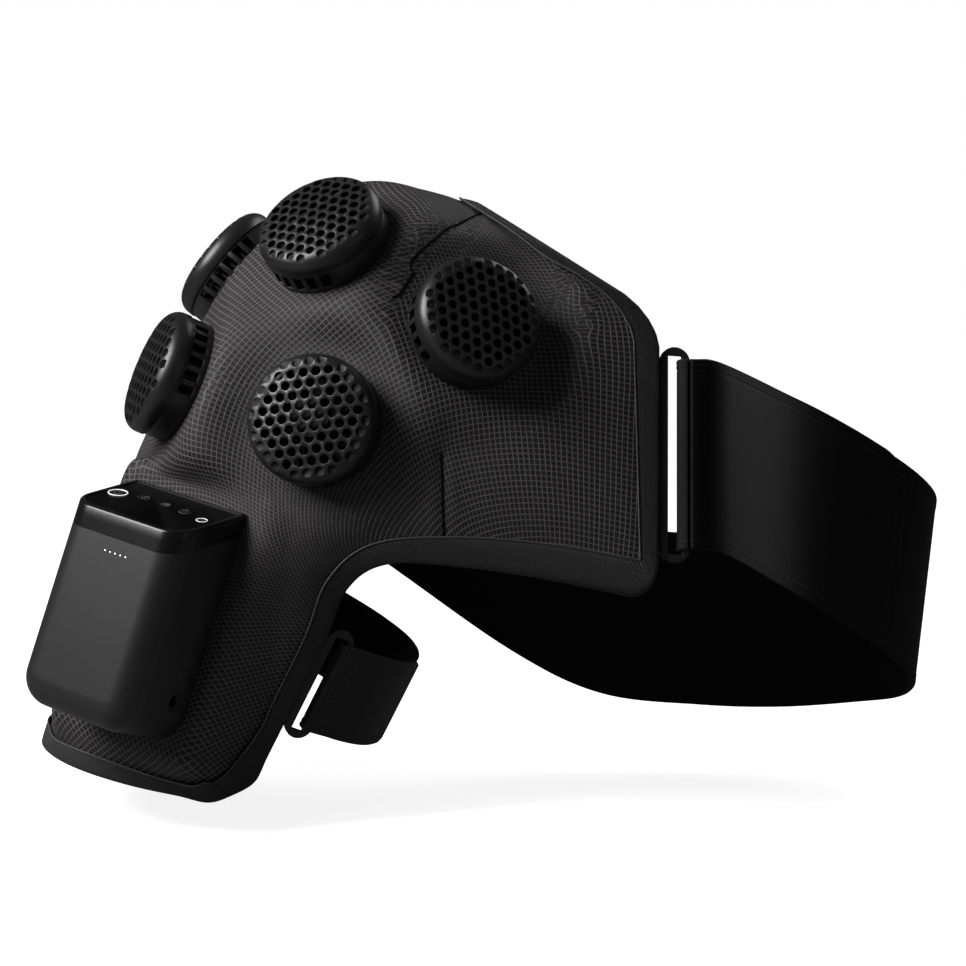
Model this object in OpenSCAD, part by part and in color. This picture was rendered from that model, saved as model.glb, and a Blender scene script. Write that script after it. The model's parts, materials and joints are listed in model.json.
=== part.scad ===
// Shoulder wrap for heating and cooling: a padded fabric shoulder piece that carries
// five round thermoelectric modules, a battery pack with keys, a chest strap and an arm strap.
// Millimetres. +Z is up along the wearer, +X runs from the shoulder towards the chest,
// -Y faces the viewer of the front. The origin is the centre of the shoulder joint.

/* [Wrap] */
// Thickness of the padded outer fabric
shell_t = 3; // [2:0.5:5]
// Thickness of the inner lining
lining_t = 2; // [1:0.5:4]
// Radius of the corners at the arm hem
hem_corner_r = 22; // [14:1:30]
// Radius of the lower corners of the chest and back lobes
lobe_corner_r = 15; // [12:1:26]
// Width of the ribbed edge binding
binding_w = 10; // [7:0.5:13]
// Thickness of the edge binding tape
binding_t = 0.8; // [0.6:0.1:1.4]
// Gap left between soft pieces that lie on each other
soft_gap = 0.4; // [0.3:0.1:0.6]

/* [Module] */
// Outer diameter of a module
module_d = 62; // [58:1:66]
// Height of the vented ring of a module
ring_h = 11; // [10:0.5:14]
// Height of the domed grille cap
cap_h = 12; // [11:0.5:15]
// Radius of the rounded edge of the grille cap
cap_edge_r = 7.5; // [5:0.5:9]
// Wall thickness of the module mouldings
module_wall = 2; // [1.6:0.2:2.6]
// Diameter of the grille holes
grille_hole_d = 4.4; // [3.4:0.1:4.6]
// Distance between neighbouring grille holes
grille_pitch = 6.0; // [5.4:0.1:7]
// Side vents in each of the two groups
vent_count = 6; // [3:1:7]
// Width of one side vent
vent_w = 4.6; // [3.5:0.1:5]
// Height of one side vent
vent_h = 7.6; // [5:0.1:8]
// Outer diameter of the neck that passes through the fabric
neck_d = 46; // [42:1:50]
// Side of the square thermoelectric tile
tile_w = 25; // [20:1:26]
// Diameter of the plate that lies towards the skin
plate_d = 56; // [52:1:60]
// Thickness of the plate that lies towards the skin
plate_t = 2.2; // [1.6:0.2:3]
// Number of fan blades
blade_count = 7; // [5:1:9]
// Radius of the fan bearing pin
fan_pin_r = 1.5; // [1:0.1:2]
// Radial running clearance of the fan on its pin
fan_clearance = 0.05; // [0.03:0.01:0.08]

/* [Battery pack] */
// Width of the pack
pack_w = 70; // [66:1:80]
// Depth of the pack, away from the arm
pack_d = 44; // [40:1:52]
// Height of the pack at its back
pack_h = 114; // [104:1:130]
// Rise of the sloped top panel over each millimetre of depth
pack_slope = 0.4; // [0.2:0.02:0.5]
// Radius of the upright front corners
pack_front_r = 13; // [8:1:16]
// Radius of the lower corners in the front view
pack_foot_r = 15; // [10:1:20]
// Wall thickness of the pack mouldings
pack_wall = 2.2; // [1.8:0.2:2.8]
// Height of the glossy band round the top
bezel_h = 10; // [8:0.5:14]
// Depth of the back tray of the pack
tray_d = 5; // [4:0.5:6]
// Radius of the two outer keys
key_r = 5; // [4:0.1:5.4]
// Radius of the three middle keys
mid_key_r = 4.2; // [3.4:0.1:4.6]
// Travel of each key
key_travel = 0.6; // [0.3:0.1:0.8]
// Gap round each key
key_gap = 0.25; // [0.2:0.05:0.4]
// Diameter of the battery cells
cell_d = 18; // [14:0.5:18.5]
// Length of the battery cells
cell_l = 65; // [50:1:70]
// Radius of the charging socket
jack_r = 2.75; // [1.75:0.25:3]
// Depth of the charging socket
jack_l = 9; // [7:0.5:11]

/* [Straps] */
// Width of the chest strap
chest_w = 93; // [80:1:100]
// Thickness of the chest strap
chest_t = 1.6; // [1.4:0.1:2]
// Share of the loop that the folded chest flap covers
flap_share = 0.30; // [0.22:0.01:0.34]
// Width of the arm strap
arm_w = 46; // [38:1:50]
// Thickness of the arm strap
arm_t = 1.6; // [1.4:0.1:2]
// Thickness of the plastic bars of both rings
ring_bar = 4; // [3.2:0.1:4.6]
// Clear width of the slot in the chest ring
chest_slot = 7; // [6.6:0.1:8]
// Clear width of the slot in the arm ring
arm_slot = 6.1; // [5.8:0.1:7.5]

/* [Hidden] */

round_fn = 96;
small_fn = 32;
seat_gap = 0.3;

// ---------- vectors and curves ----------
function unit(v) = v / norm(v);
function mix(a, b, f) = a + (b - a) * f;
function clamp(x, lo, hi) = min(max(x, lo), hi);
function smooth(x) = let (c = clamp(x, 0, 1)) c * c * (3 - 2 * c);
function vsum(list, k = 0) = k == len(list) - 1 ? list[k] : list[k] + vsum(list, k + 1);
function point_at(p, k) =
    k < 0 ? 2 * p[0] - p[1] :
    k > len(p) - 1 ? 2 * p[len(p) - 1] - p[len(p) - 2] : p[k];
function spline(p, x) =
    let (s = clamp(x, 0, 1) * (len(p) - 1), i = min(floor(s), len(p) - 2), f = s - i)
    let (a = point_at(p, i - 1), b = p[i], c = p[i + 1], d = point_at(p, i + 2))
    b + 0.5 * f * (c - a + f * (2 * a - 5 * b + 4 * c - d + f * (3 * (b - c) + d - a)));

// ---------- a frame from an origin, an outward direction and a direction for x ----------
function frame_x(n, v) = unit(v - (v * n) * n);
function frame_rows(c, n, v) =
    let (x = frame_x(n, v), y = cross(n, x))
    [[x.x, y.x, n.x, c.x], [x.y, y.y, n.y, c.y], [x.z, y.z, n.z, c.z], [0, 0, 0, 1]];

// ---------- the fabric surface ----------
// Stations from the arm hem, over the shoulder, to the chest and back lobes:
// ridge x, ridge z, edge x, edge z, half depth at the edge, sweep angle from ridge to edge
stations = [
    [-141, -171, -39, -188, 70, 110],
    [-122, -116, -19, -148, 72, 112],
    [-103, -62, 0, -110, 74, 114],
    [-89, -18, 11, -84, 78, 112],
    [-58, 36, 31, -71, 84, 106],
    [-28, 83, 70, -73, 86, 102],
    [22, 104, 113, -80, 84, 100],
    [73, 94, 158, -90, 80, 98]];
// Upper corner of the chest lobe, by the neck
neck_corner = [160, 42, 42];
arch_start = 0.35;

function arch(st, s) =
    let (a = s * st[5], f = (1 - cos(a)) / (1 - cos(st[5])))
    [mix(st[0], st[2], f), st[4] * sin(a) / sin(st[5]), mix(st[1], st[3], f)];
last_station = stations[len(stations) - 1];
lobe_corner = [last_station[2], last_station[4], last_station[3]];
function lobe_edge_sharp(s) =
    s < 0.5
    ? let (f = 1 - cos(180 * s))
        [mix(last_station[0], neck_corner.x, f), neck_corner.y * sin(180 * s),
            mix(last_station[1], neck_corner.z, f)]
    : mix(neck_corner, lobe_corner, 2 * s - 1);
function lobe_edge(s) =
    let (d = 0.06 * (1 - s) * min(2 * s, 1))
    vsum([for (j = [-2:2]) lobe_edge_sharp(clamp(s + j * d, 0, 1))]) / 5;
// Free surface at u along the wrap and t from the front edge (-1) over the ridge to the back (1)
function free_point(u, t) =
    let (s = abs(t), side = t < 0 ? -1 : 1)
    let (g = pow(clamp((u - arch_start) / (1 - arch_start), 0, 1), 1.5))
    let (p = arch(spline(stations, u), s) + g * (lobe_edge(s) - arch(last_station, s)))
    [p.x, side * p.y, p.z];

// ---------- places of the modules and the pack on the surface ----------
// u, t, outward direction, direction of the first vent group
module_seats = [
    [0.750, -0.285, [-0.35, -0.62, 0.70], [-0.5, -0.5, -0.8]],
    [0.640, 0.150, [-0.77, 0.15, 0.62], [0, -1, 0]],
    [0.513, -0.205, [-0.87, -0.30, 0.39], [0.3, -0.9, 0.5]],
    [0.600, -0.620, [-0.20, -0.95, 0.22], [0.15, 0, -1]],
    [0.800, -0.550, [0.38, -0.84, 0.38], [-1, 0, -0.1]]];
function seat_centre(k) = free_point(module_seats[k][0], module_seats[k][1]);
function seat_dir(k) = unit(module_seats[k][2]);
seat_plateau = module_d / 2 + 5;
seat_blend = 24;
pack_seat = [0.225, -0.49];
pack_out = unit([-0.504, -0.827, 0.247]);
pack_up = unit([0.296, 0.103, 0.95] - ([0.296, 0.103, 0.95] * pack_out) * pack_out);
pack_side = cross(pack_up, pack_out);
pack_sink = 2;
pack_centre = free_point(pack_seat[0], pack_seat[1]) - pack_sink * pack_out;
pack_plateau = 4;
pack_blend = 18;

// The fabric is pulled flat under every module and under the pack
function seat_pull(p, c, n) =
    let (h = (p - c) * n, rho = norm(p - c - h * n))
    abs(h) > 40 ? [0, [0, 0, 0]] :
    let (w = 1 - smooth((rho - seat_plateau) / seat_blend)) [w, h * n];
function pack_pull(p) =
    let (q = p - pack_centre, h = q * pack_out)
    let (a = abs(q * pack_side) - pack_w / 2 - pack_plateau)
    let (b = abs(q * pack_up) - pack_h / 2 - pack_plateau)
    abs(h) > 40 ? [0, [0, 0, 0]] :
    let (w = (1 - smooth(a / pack_blend)) * (1 - smooth(b / pack_blend))) [w, h * pack_out];
seats = [for (k = [0:4]) [seat_centre(k), seat_dir(k)]];
function left_by_others(pulls, k, j = 0) =
    j == len(pulls) ? 1 : (j == k ? 1 : 1 - pulls[j][0]) * left_by_others(pulls, k, j + 1);
function fabric_point(u, t) =
    let (p = free_point(u, t))
    let (pulls = concat([for (s = seats) seat_pull(p, s[0], s[1])], [pack_pull(p)]))
    let (own = [for (k = [0:len(pulls) - 1]) pulls[k][0] * left_by_others(pulls, k)])
    let (strength = 1 - left_by_others(pulls, -1))
    p - strength / max(vsum(own), 0.000001) * vsum([for (k = [0:len(pulls) - 1]) own[k] * pulls[k][1]]);
function fabric_normal(u, t) =
    let (d = 0.004, u0 = clamp(u - d, 0, 1), u1 = clamp(u + d, 0, 1))
    let (t0 = clamp(t - d, -1, 1), t1 = clamp(t + d, -1, 1))
    unit(cross(fabric_point(u1, t) - fabric_point(u0, t), fabric_point(u, t1) - fabric_point(u, t0)));

// ---------- rounded outline in the plane of u and t ----------
hem_u = hem_corner_r / 440;
hem_t = hem_corner_r / 150;
lobe_u = lobe_corner_r / 330;
lobe_t = lobe_corner_r / 230;
function squeeze(a, b) = max(a, b) / max(norm([a, b]), 0.000001);
function outline(u, t) =
    let (s = abs(t), side = t < 0 ? -1 : 1)
    let (ha = (hem_u - u) / hem_u, hb = (s - 1 + hem_t) / hem_t)
    let (la = (u - 1 + lobe_u) / lobe_u, lb = (s - 1 + lobe_t) / lobe_t)
    ha > 0 && hb > 0
    ? let (k = squeeze(ha, hb)) [hem_u - ha * k * hem_u, side * (1 - hem_t + hb * k * hem_t)]
    : la > 0 && lb > 0
    ? let (k = squeeze(la, lb)) [1 - lobe_u + la * k * lobe_u, side * (1 - lobe_t + lb * k * lobe_t)]
    : [u, t];

// ---------- closed slab between two offsets of a grid of points ----------
module slab(grid, normals, low, high) {
    rows = len(grid);
    cols = len(grid[0]);
    size = rows * cols;
    top = [for (i = [0:rows - 1]) for (j = [0:cols - 1]) grid[i][j] + high * normals[i][j]];
    bottom = [for (i = [0:rows - 1]) for (j = [0:cols - 1]) grid[i][j] + low * normals[i][j]];
    function id(i, j) = i * cols + j;
    upper = [for (i = [0:rows - 2]) for (j = [0:cols - 2]) each
        [[id(i, j), id(i, j + 1), id(i + 1, j)], [id(i, j + 1), id(i + 1, j + 1), id(i + 1, j)]]];
    lower = [for (f = upper) [f[0] + size, f[2] + size, f[1] + size]];
    rim = concat(
        [for (j = [0:cols - 1]) id(0, j)],
        [for (i = [1:rows - 1]) id(i, cols - 1)],
        [for (j = [cols - 2:-1:0]) id(rows - 1, j)],
        [for (i = [rows - 2:-1:1]) id(i, 0)]);
    count = len(rim);
    sides = [for (k = [0:count - 1])
        let (a = rim[k], b = rim[(k + 1) % count]) each
        [[a, a + size, b], [b, a + size, b + size]]];
    polyhedron(points = concat(top, bottom), faces = concat(upper, lower, sides), convexity = 8);
}

// ---------- fabric pieces ----------
wrap_cells_u = 24;
wrap_cells_t = 30;
bind_u = binding_w / 400;
bind_t = binding_w / 170;
// Grid lines: both edges, the inner edge of the binding, and even steps between
function grid_lines(lo, hi, inset, n) =
    concat([lo], [for (i = [0:n - 2]) mix(lo + inset, hi - inset, i / (n - 2))], [hi]);
wrap_us = grid_lines(0, 1, bind_u, wrap_cells_u);
wrap_ts = grid_lines(-1, 1, bind_t, wrap_cells_t);
function wrap_grid() = [for (u = wrap_us) [for (t = wrap_ts) let (q = outline(u, t)) fabric_point(q[0], q[1])]];
function wrap_normals() =
    [for (u = wrap_us) [for (t = wrap_ts) let (q = outline(u, t)) fabric_normal(q[0], q[1])]];

lining_gap = 0.2;
shell_top = shell_t;
lining_low = -lining_gap - lining_t;
neck_hole_r = neck_d / 2 + soft_gap;

module at_seat(k) {
    multmatrix(frame_rows(seats[k][0], seats[k][1], module_seats[k][3])) children();
}
module neck_holes() {
    for (k = [0:4]) at_seat(k) translate([0, 0, -20]) cylinder(r = neck_hole_r, h = 40, $fn = round_fn);
}
// The fabric is pressed flat under the rim of each module and under each plate
press_r = module_d / 2 + 0.5;
press_d = plate_d / 2 + 0.5;
press_h = 8;
module plate_beds() {
    for (k = [0:4]) at_seat(k) translate([0, 0, lining_low - seat_gap / 2 - press_h])
        cylinder(r = press_d, h = press_h, $fn = round_fn);
}
module wrap_shell() {
    color("#2b2a2b") difference() {
        slab(wrap_grid(), wrap_normals(), 0, shell_top);
        neck_holes();
        for (k = [0:4]) at_seat(k) translate([0, 0, shell_top + seat_gap / 2])
            cylinder(r = press_r, h = press_h, $fn = round_fn);
        plate_beds();
    }
}
module wrap_lining() {
    color("#1d1d1f") difference() {
        slab(wrap_grid(), wrap_normals(), lining_low, -lining_gap);
        neck_holes();
        plate_beds();
    }
}

// Edge binding: a folded tape, U-shaped in section, all the way round
function tucked(list, k) =
    let (last = len(list) - 1)
    k == 0 ? list[1] : k == 1 ? mix(list[1], list[2], 0.35) :
    k == last ? list[last - 1] : k == last - 1 ? mix(list[last - 1], list[last - 2], 0.35) : list[k];
// Pairs of an outer point and its inner point, all the way round
ring_pairs = concat(
    [for (j = [0:wrap_cells_t - 1]) [[wrap_us[0], wrap_ts[j]], [wrap_us[1], tucked(wrap_ts, j)]]],
    [for (i = [0:wrap_cells_u - 1])
        [[wrap_us[i], wrap_ts[wrap_cells_t]], [tucked(wrap_us, i), wrap_ts[wrap_cells_t - 1]]]],
    [for (j = [wrap_cells_t:-1:1])
        [[wrap_us[wrap_cells_u], wrap_ts[j]], [wrap_us[wrap_cells_u - 1], tucked(wrap_ts, j)]]],
    [for (i = [wrap_cells_u:-1:1]) [[wrap_us[i], wrap_ts[0]], [tucked(wrap_us, i), wrap_ts[1]]]]);
leg_gap = soft_gap + 0.2;
module edge_binding() {
    outer = [for (q = ring_pairs) outline(q[0][0], q[0][1])];
    inner = [for (q = ring_pairs) outline(q[1][0], q[1][1])];
    count = len(outer);
    over = shell_top + leg_gap;
    under = -lining_low + leg_gap;
    sections = [for (k = [0:count - 1])
        let (b = fabric_point(outer[k][0], outer[k][1]), nb = fabric_normal(outer[k][0], outer[k][1]))
        let (c = fabric_point(inner[k][0], inner[k][1]), nc = fabric_normal(inner[k][0], inner[k][1]))
        let (out = unit(b - c - ((b - c) * nb) * nb))
        [c + over * nc, b + over * nb + soft_gap * out, b - under * nb + soft_gap * out, c - under * nc,
            c - (under + binding_t) * nc, b - (under + binding_t) * nb + (soft_gap + binding_t) * out,
            b + (over + binding_t) * nb + (soft_gap + binding_t) * out, c + (over + binding_t) * nc]];
    sides = 8;
    faces = [for (k = [0:count - 1]) for (m = [0:sides - 1])
        let (a = k * sides + m, b = k * sides + (m + 1) % sides)
        let (c = ((k + 1) % count) * sides + m, d = ((k + 1) % count) * sides + (m + 1) % sides) each
        [[a, c, b], [b, c, d]]];
    color("#232224") polyhedron(points = [for (s = sections) each s], faces = faces, convexity = 10);
}

// ---------- thermoelectric modules ----------
// Heights along the module axis, from the middle of the fabric
base_z = shell_top + seat_gap;
floor_z = base_z + module_wall;
rim_z = base_z + ring_h;
top_z = rim_z + cap_h;
module_r = module_d / 2;
housing_r = module_r - 0.6;
neck_end = lining_low - seat_gap;
tile_hole_r = tile_w * sqrt(2) / 2 + 0.4;
plate_top = neck_end;
plate_bottom = plate_top - plate_t;
tile_t = 3.6;
tile_top = plate_top + tile_t;
sink_base = floor_z;
sink_r = housing_r - module_wall - 1;
sink_base_t = 1.6;
fin_t = 1;
fin_pitch = 3.4;
fin_top = rim_z - 2.4;
motor_z = fin_top + 0.6;
motor_t = 1.6;
motor_r = 8;
arm_t_fan = 3;
rotor_z = motor_z + motor_t + 0.5;
rotor_h = 7;
hub_r = 9;
blade_r = sink_r - 1;
blade_t = 1;
pin_top = rotor_z + rotor_h - 1.6;
screw_r = 1;
screw_circle_r = (tile_hole_r + neck_d / 2) / 2;
screw_count = 4;

module vent_housing(k) {
    vent_step = (vent_w + 2.6) / housing_r * 180 / PI;
    color("#2a292b") at_seat(k) difference() {
        union() {
            translate([0, 0, neck_end]) cylinder(d = neck_d, h = base_z - neck_end + 0.5, $fn = round_fn);
            translate([0, 0, base_z]) cylinder(r = housing_r, h = ring_h, $fn = round_fn);
        }
        translate([0, 0, neck_end - 1]) cylinder(r = tile_hole_r, h = 20, $fn = round_fn);
        translate([0, 0, floor_z]) cylinder(r = housing_r - module_wall, h = ring_h, $fn = round_fn);
        for (g = [0, 180]) for (i = [0:vent_count - 1])
            rotate([0, 0, g + (i - (vent_count - 1) / 2) * vent_step])
                translate([housing_r - module_wall - 1, -vent_w / 2, floor_z + 0.4])
                    cube([module_wall + 2, vent_w, vent_h - 0.4]);
        for (a = [0:screw_count - 1]) rotate([0, 0, 45 + a * 360 / screw_count])
            translate([screw_circle_r, 0, neck_end - 1]) cylinder(r = screw_r, h = 5.5, $fn = small_fn);
    }
}
module cap_profile(r, edge, h, crown) {
    // Quarter section: upright side, rounded edge and a slightly domed top
    union() {
        square([r, h - crown - edge]);
        square([r - edge, h - crown]);
        translate([r - edge, h - crown - edge]) circle(r = edge, $fn = 64);
        intersection() {
            square([r - edge, h]);
            translate([0, h - dome_radius(r - edge, crown)]) circle(r = dome_radius(r - edge, crown), $fn = 200);
        }
    }
}
function dome_radius(r, crown) = (r * r + crown * crown) / (2 * crown);
module cap_solid(r, edge, h, crown) {
    rotate_extrude($fn = round_fn) intersection() {
        cap_profile(r, edge, h, crown);
        square([r, h]);
    }
}
cap_crown = 1.6;
hole_zone_r = module_r - cap_edge_r * 0.55 - grille_hole_d / 2;
hole_rows = ceil(hole_zone_r / (grille_pitch * 0.866));
hole_cols = ceil(hole_zone_r / grille_pitch) + 1;
grille_spots = [for (i = [-hole_rows:hole_rows]) for (j = [-hole_cols:hole_cols])
    let (x = grille_pitch * (j + (abs(i) % 2) / 2), y = grille_pitch * 0.866 * i)
    if (norm([x, y]) < hole_zone_r) [x, y]];
module grille_cap(k) {
    color("#2e2d2f") at_seat(k) translate([0, 0, rim_z]) difference() {
        cap_solid(module_r, cap_edge_r, cap_h, cap_crown);
        translate([0, 0, -0.001])
            cap_solid(module_r - module_wall, cap_edge_r - module_wall, cap_h - module_wall, cap_crown);
        for (s = grille_spots)
            translate([s[1], s[0], 2]) cylinder(d = grille_hole_d, h = cap_h, $fn = 24);
    }
}
module heat_sink(k) {
    fins = floor(sink_r / fin_pitch);
    color("#b9bcc0") at_seat(k) union() {
        translate([0, 0, sink_base]) cylinder(r = sink_r, h = sink_base_t, $fn = round_fn);
        translate([-tile_w / 2, -tile_w / 2, tile_top]) cube([tile_w, tile_w, sink_base - tile_top + 0.2]);
        intersection() {
            translate([0, 0, sink_base]) cylinder(r = sink_r, h = fin_top - sink_base, $fn = round_fn);
            for (i = [-fins:fins]) translate([-sink_r, i * fin_pitch - fin_t / 2, sink_base + 0.2])
                cube([2 * sink_r, fin_t, fin_top - sink_base]);
        }
    }
}
module fan_motor(k) {
    color("#3c3c40") at_seat(k) union() {
        translate([0, 0, motor_z]) cylinder(r = motor_r, h = motor_t, $fn = 64);
        for (a = [0:120:240]) rotate([0, 0, a + 30]) translate([0, -arm_t_fan / 2, motor_z])
            cube([housing_r - module_wall - 0.3, arm_t_fan, motor_t]);
        translate([0, 0, motor_z + 0.2]) cylinder(r = fan_pin_r, h = pin_top - motor_z - 0.2, $fn = 48);
    }
}
module fan_rotor(k) {
    color("#1f1f22") at_seat(k) translate([0, 0, rotor_z]) difference() {
        union() {
            cylinder(r = hub_r, h = rotor_h, $fn = 64);
            for (b = [0:blade_count - 1]) rotate([0, 0, b * 360 / blade_count])
                translate([hub_r - 1, 0, rotor_h / 2]) rotate([-38, 0, 0])
                    translate([0, -4, -blade_t / 2]) cube([blade_r - hub_r, 8, blade_t]);
        }
        translate([0, 0, -1]) cylinder(r = fan_pin_r + fan_clearance, h = rotor_h, $fn = 48);
    }
}
module contact_plate(k) {
    color("#c9ccd0") at_seat(k) difference() {
        translate([0, 0, plate_bottom]) cylinder(d = plate_d, h = plate_t, $fn = round_fn);
        for (a = [0:screw_count - 1]) rotate([0, 0, 45 + a * 360 / screw_count])
            translate([screw_circle_r, 0, plate_bottom - 1]) cylinder(r = screw_r, h = plate_t + 2, $fn = small_fn);
    }
}
module peltier_tiles() {
    color("#e8e6df") for (k = [0:4]) at_seat(k)
        translate([-tile_w / 2, -tile_w / 2, plate_top]) cube([tile_w, tile_w, tile_t]);
}
module plate_screws() {
    color("#9a9ca0") for (k = [0:4]) at_seat(k)
        for (a = [0:screw_count - 1]) rotate([0, 0, 45 + a * 360 / screw_count])
            translate([screw_circle_r, 0, 0]) {
                translate([0, 0, plate_bottom]) cylinder(r = screw_r, h = plate_t + 4, $fn = small_fn);
                translate([0, 0, plate_bottom - 0.8]) cylinder(r = 1.9, h = 0.8, $fn = small_fn);
            }
}

// ---------- battery pack: x across, y into the arm, z up, origin at the back bottom centre ----------
pack_gap = shell_top + seat_gap;
pack_origin = pack_centre + pack_gap * pack_out - pack_h / 2 * pack_up;
module in_pack() {
    multmatrix([[pack_side.x, -pack_out.x, pack_up.x, pack_origin.x],
        [pack_side.y, -pack_out.y, pack_up.y, pack_origin.y],
        [pack_side.z, -pack_out.z, pack_up.z, pack_origin.z], [0, 0, 0, 1]]) children();
}
front_h = pack_h - pack_slope * pack_d;
panel_tilt = atan(pack_slope);
// Rounded block of the pack, shrunk by e on every side but the back, open-ended upwards
module pack_block(e) {
    w = pack_w / 2 - e;
    d = pack_d - e;
    foot = pack_foot_r - e;
    front = min(pack_front_r - e, foot - 0.5);
    hull() for (side = [-1, 1]) for (z = [foot + e, pack_h + 30]) {
        translate([side * (w - foot), 0, z]) rotate([90, 0, 0]) cylinder(r = foot, h = d - front, $fn = 48);
        for (a = [15:15:90])
            translate([side * (w - foot), -d + front * (1 - sin(a)), z]) rotate([90, 0, 0])
                cylinder(r = foot - front * (1 - cos(a)), h = 0.01, $fn = 48);
    }
}
// The sloped frame: origin at the back top edge, z out of the panel, y up the slope
module on_slope() {
    translate([0, 0, pack_h]) rotate([panel_tilt, 0, 0]) children();
}
module above_slope(drop) {
    on_slope() translate([-pack_w, -3 * pack_d, -drop]) cube([2 * pack_w, 5 * pack_d, 2 * pack_h]);
}
module below_slope(drop) {
    on_slope() translate([-pack_w, -3 * pack_d, -drop - 3 * pack_h]) cube([2 * pack_w, 5 * pack_d, 3 * pack_h]);
}
module in_front_of(y) {
    translate([-pack_w, y - 2 * pack_d, -pack_h]) cube([2 * pack_w, 2 * pack_d, 4 * pack_h]);
}
module behind(y) {
    translate([-pack_w, y, -pack_h]) cube([2 * pack_w, 2 * pack_d, 4 * pack_h]);
}
seam = 0.1;
screw_x = pack_w / 2 - 8;
screw_zs = [0.32 * pack_h, 0.7 * pack_h];
screw_hole_r = screw_r + 0.05;
boss_r = 3;
jack_y = -11.5;
jack_z = 20.5;
jack_body_r = jack_r + 1.9;
light_pitch = 3.2;
light_r = 0.8;
light_x = 2;
light_drop = 17.5;
light_spots = [for (i = [-2:2]) light_x + i * light_pitch];
light_z = front_h - light_drop;
dock_w = 44;
dock_l = 84;
dock_sink = 1.2;

module pack_front_case() {
    color("#2d2b2c") in_pack() difference() {
        union() {
            difference() {
                pack_block(0);
                pack_block(pack_wall);
                above_slope(bezel_h);
                behind(-tray_d);
            }
            intersection() {
                pack_block(pack_wall / 2);
                for (side = [-1, 1]) for (z = screw_zs)
                    translate([side * screw_x, -pack_wall - seam, z]) rotate([90, 0, 0])
                        cylinder(r = boss_r, h = pack_d, $fn = small_fn);
            }
        }
        for (side = [-1, 1]) for (z = screw_zs)
            translate([side * screw_x, 0, z]) rotate([90, 0, 0]) cylinder(r = screw_hole_r, h = 14, $fn = small_fn);
        for (x = light_spots) translate([x, -pack_d + pack_wall + 1, light_z]) rotate([90, 0, 0])
            cylinder(r = light_r + 0.05, h = pack_wall + 2, $fn = small_fn);
        translate([pack_w / 2 - pack_wall - 1, jack_y, jack_z]) rotate([0, 90, 0])
            cylinder(r = jack_body_r + seam, h = pack_wall + 3, $fn = 64);
    }
}
module pack_back_case() {
    color("#252425") in_pack() difference() {
        pack_block(0);
        in_front_of(-tray_d + seam);
        intersection() {
            pack_block(pack_wall);
            in_front_of(-pack_wall);
        }
        above_slope(bezel_h);
        for (side = [-1, 1]) for (z = screw_zs) translate([side * screw_x, 1, z]) rotate([90, 0, 0]) {
            cylinder(r = screw_hole_r, h = pack_wall + 2, $fn = small_fn);
            cylinder(r = 2, h = 2.3, $fn = small_fn);
        }
        translate([-dock_w / 2 - 0.2, -dock_sink, pack_h / 2 - dock_l / 2 - 0.2])
            cube([dock_w + 0.4, 2 * dock_sink, dock_l + 0.4]);
    }
}
module pack_dock() {
    color("#3a3a3c") in_pack() translate([-dock_w / 2, -dock_sink + 0.1, pack_h / 2 - dock_l / 2])
        cube([dock_w, dock_sink - 0.1 + seat_gap - 0.1, dock_l]);
}
module pack_bezel() {
    color("#0d0d0e") in_pack() difference() {
        pack_block(0);
        intersection() {
            pack_block(pack_wall);
            in_front_of(-pack_wall);
        }
        above_slope(0);
        below_slope(bezel_h - seam);
    }
}
// Keys: place across, distance along the slope from the back edge, radius
slope_l = pack_d / cos(panel_tilt);
key_flange = 0.9;
key_flange_t = 0.9;
key_wall_gap = 0.5;
outer_key_x = pack_w / 2 - pack_wall - key_wall_gap - key_flange - key_r;
keys = [
    [-outer_key_x, -0.48 * slope_l, key_r],
    [-outer_key_x / 2, -0.41 * slope_l, mid_key_r],
    [0, -0.40 * slope_l, mid_key_r],
    [outer_key_x / 2, -0.41 * slope_l, mid_key_r],
    [outer_key_x, -0.48 * slope_l, key_r]];
panel_top = -0.4;
panel_t = 1.6;
key_top = -0.3;
key_stem_low = panel_top - panel_t - seam;
key_low = key_stem_low - key_flange_t;
switch_top = key_low - key_travel - seam;
switch_h = 2.6;
board_top = switch_top - switch_h;
board_t = 1.4;
panel_edge = pack_wall + 0.15;

module key_panel() {
    color("#070708") in_pack() difference() {
        intersection() {
            pack_block(panel_edge);
            in_front_of(-panel_edge);
        }
        above_slope(-panel_top);
        below_slope(-panel_top + panel_t);
        on_slope() for (q = keys) translate([q[0], q[1], -5]) cylinder(r = q[2] + key_gap, h = 10, $fn = 64);
    }
}
module panel_key(k) {
    color("#0b0b0c") in_pack() on_slope() translate([keys[k][0], keys[k][1], 0]) {
        translate([0, 0, key_stem_low - 0.01]) cylinder(r = keys[k][2], h = key_top - key_stem_low + 0.01, $fn = 64);
        translate([0, 0, key_low]) cylinder(r = keys[k][2] + key_flange, h = key_flange_t, $fn = 64);
    }
}
module key_switches() {
    color("#c8c8cc") in_pack() on_slope() for (q = keys) translate([q[0], q[1], 0]) {
        translate([-2.6, -2.6, board_top]) cube([5.2, 5.2, switch_h - 1]);
        translate([0, 0, board_top]) cylinder(r = 1.4, h = switch_h, $fn = small_fn);
    }
}
module control_board() {
    inset = pack_wall + 0.25;
    color("#1f5c3a") in_pack() difference() {
        intersection() {
            pack_block(inset);
            in_front_of(-inset);
        }
        above_slope(-board_top);
        below_slope(-board_top + board_t);
    }
}
module level_lights() {
    back = -pack_d + pack_wall + 0.1;
    color("#f4f4f4") in_pack() union() {
        for (x = light_spots) translate([x, back + 0.5, light_z]) rotate([90, 0, 0])
            cylinder(r = light_r, h = pack_wall + 0.6, $fn = small_fn);
        translate([light_x - 2.5 * light_pitch, back, light_z - 1.6]) cube([5 * light_pitch, 1.2, 3.2]);
    }
}
cell_pitch = cell_d + 1;
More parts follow.
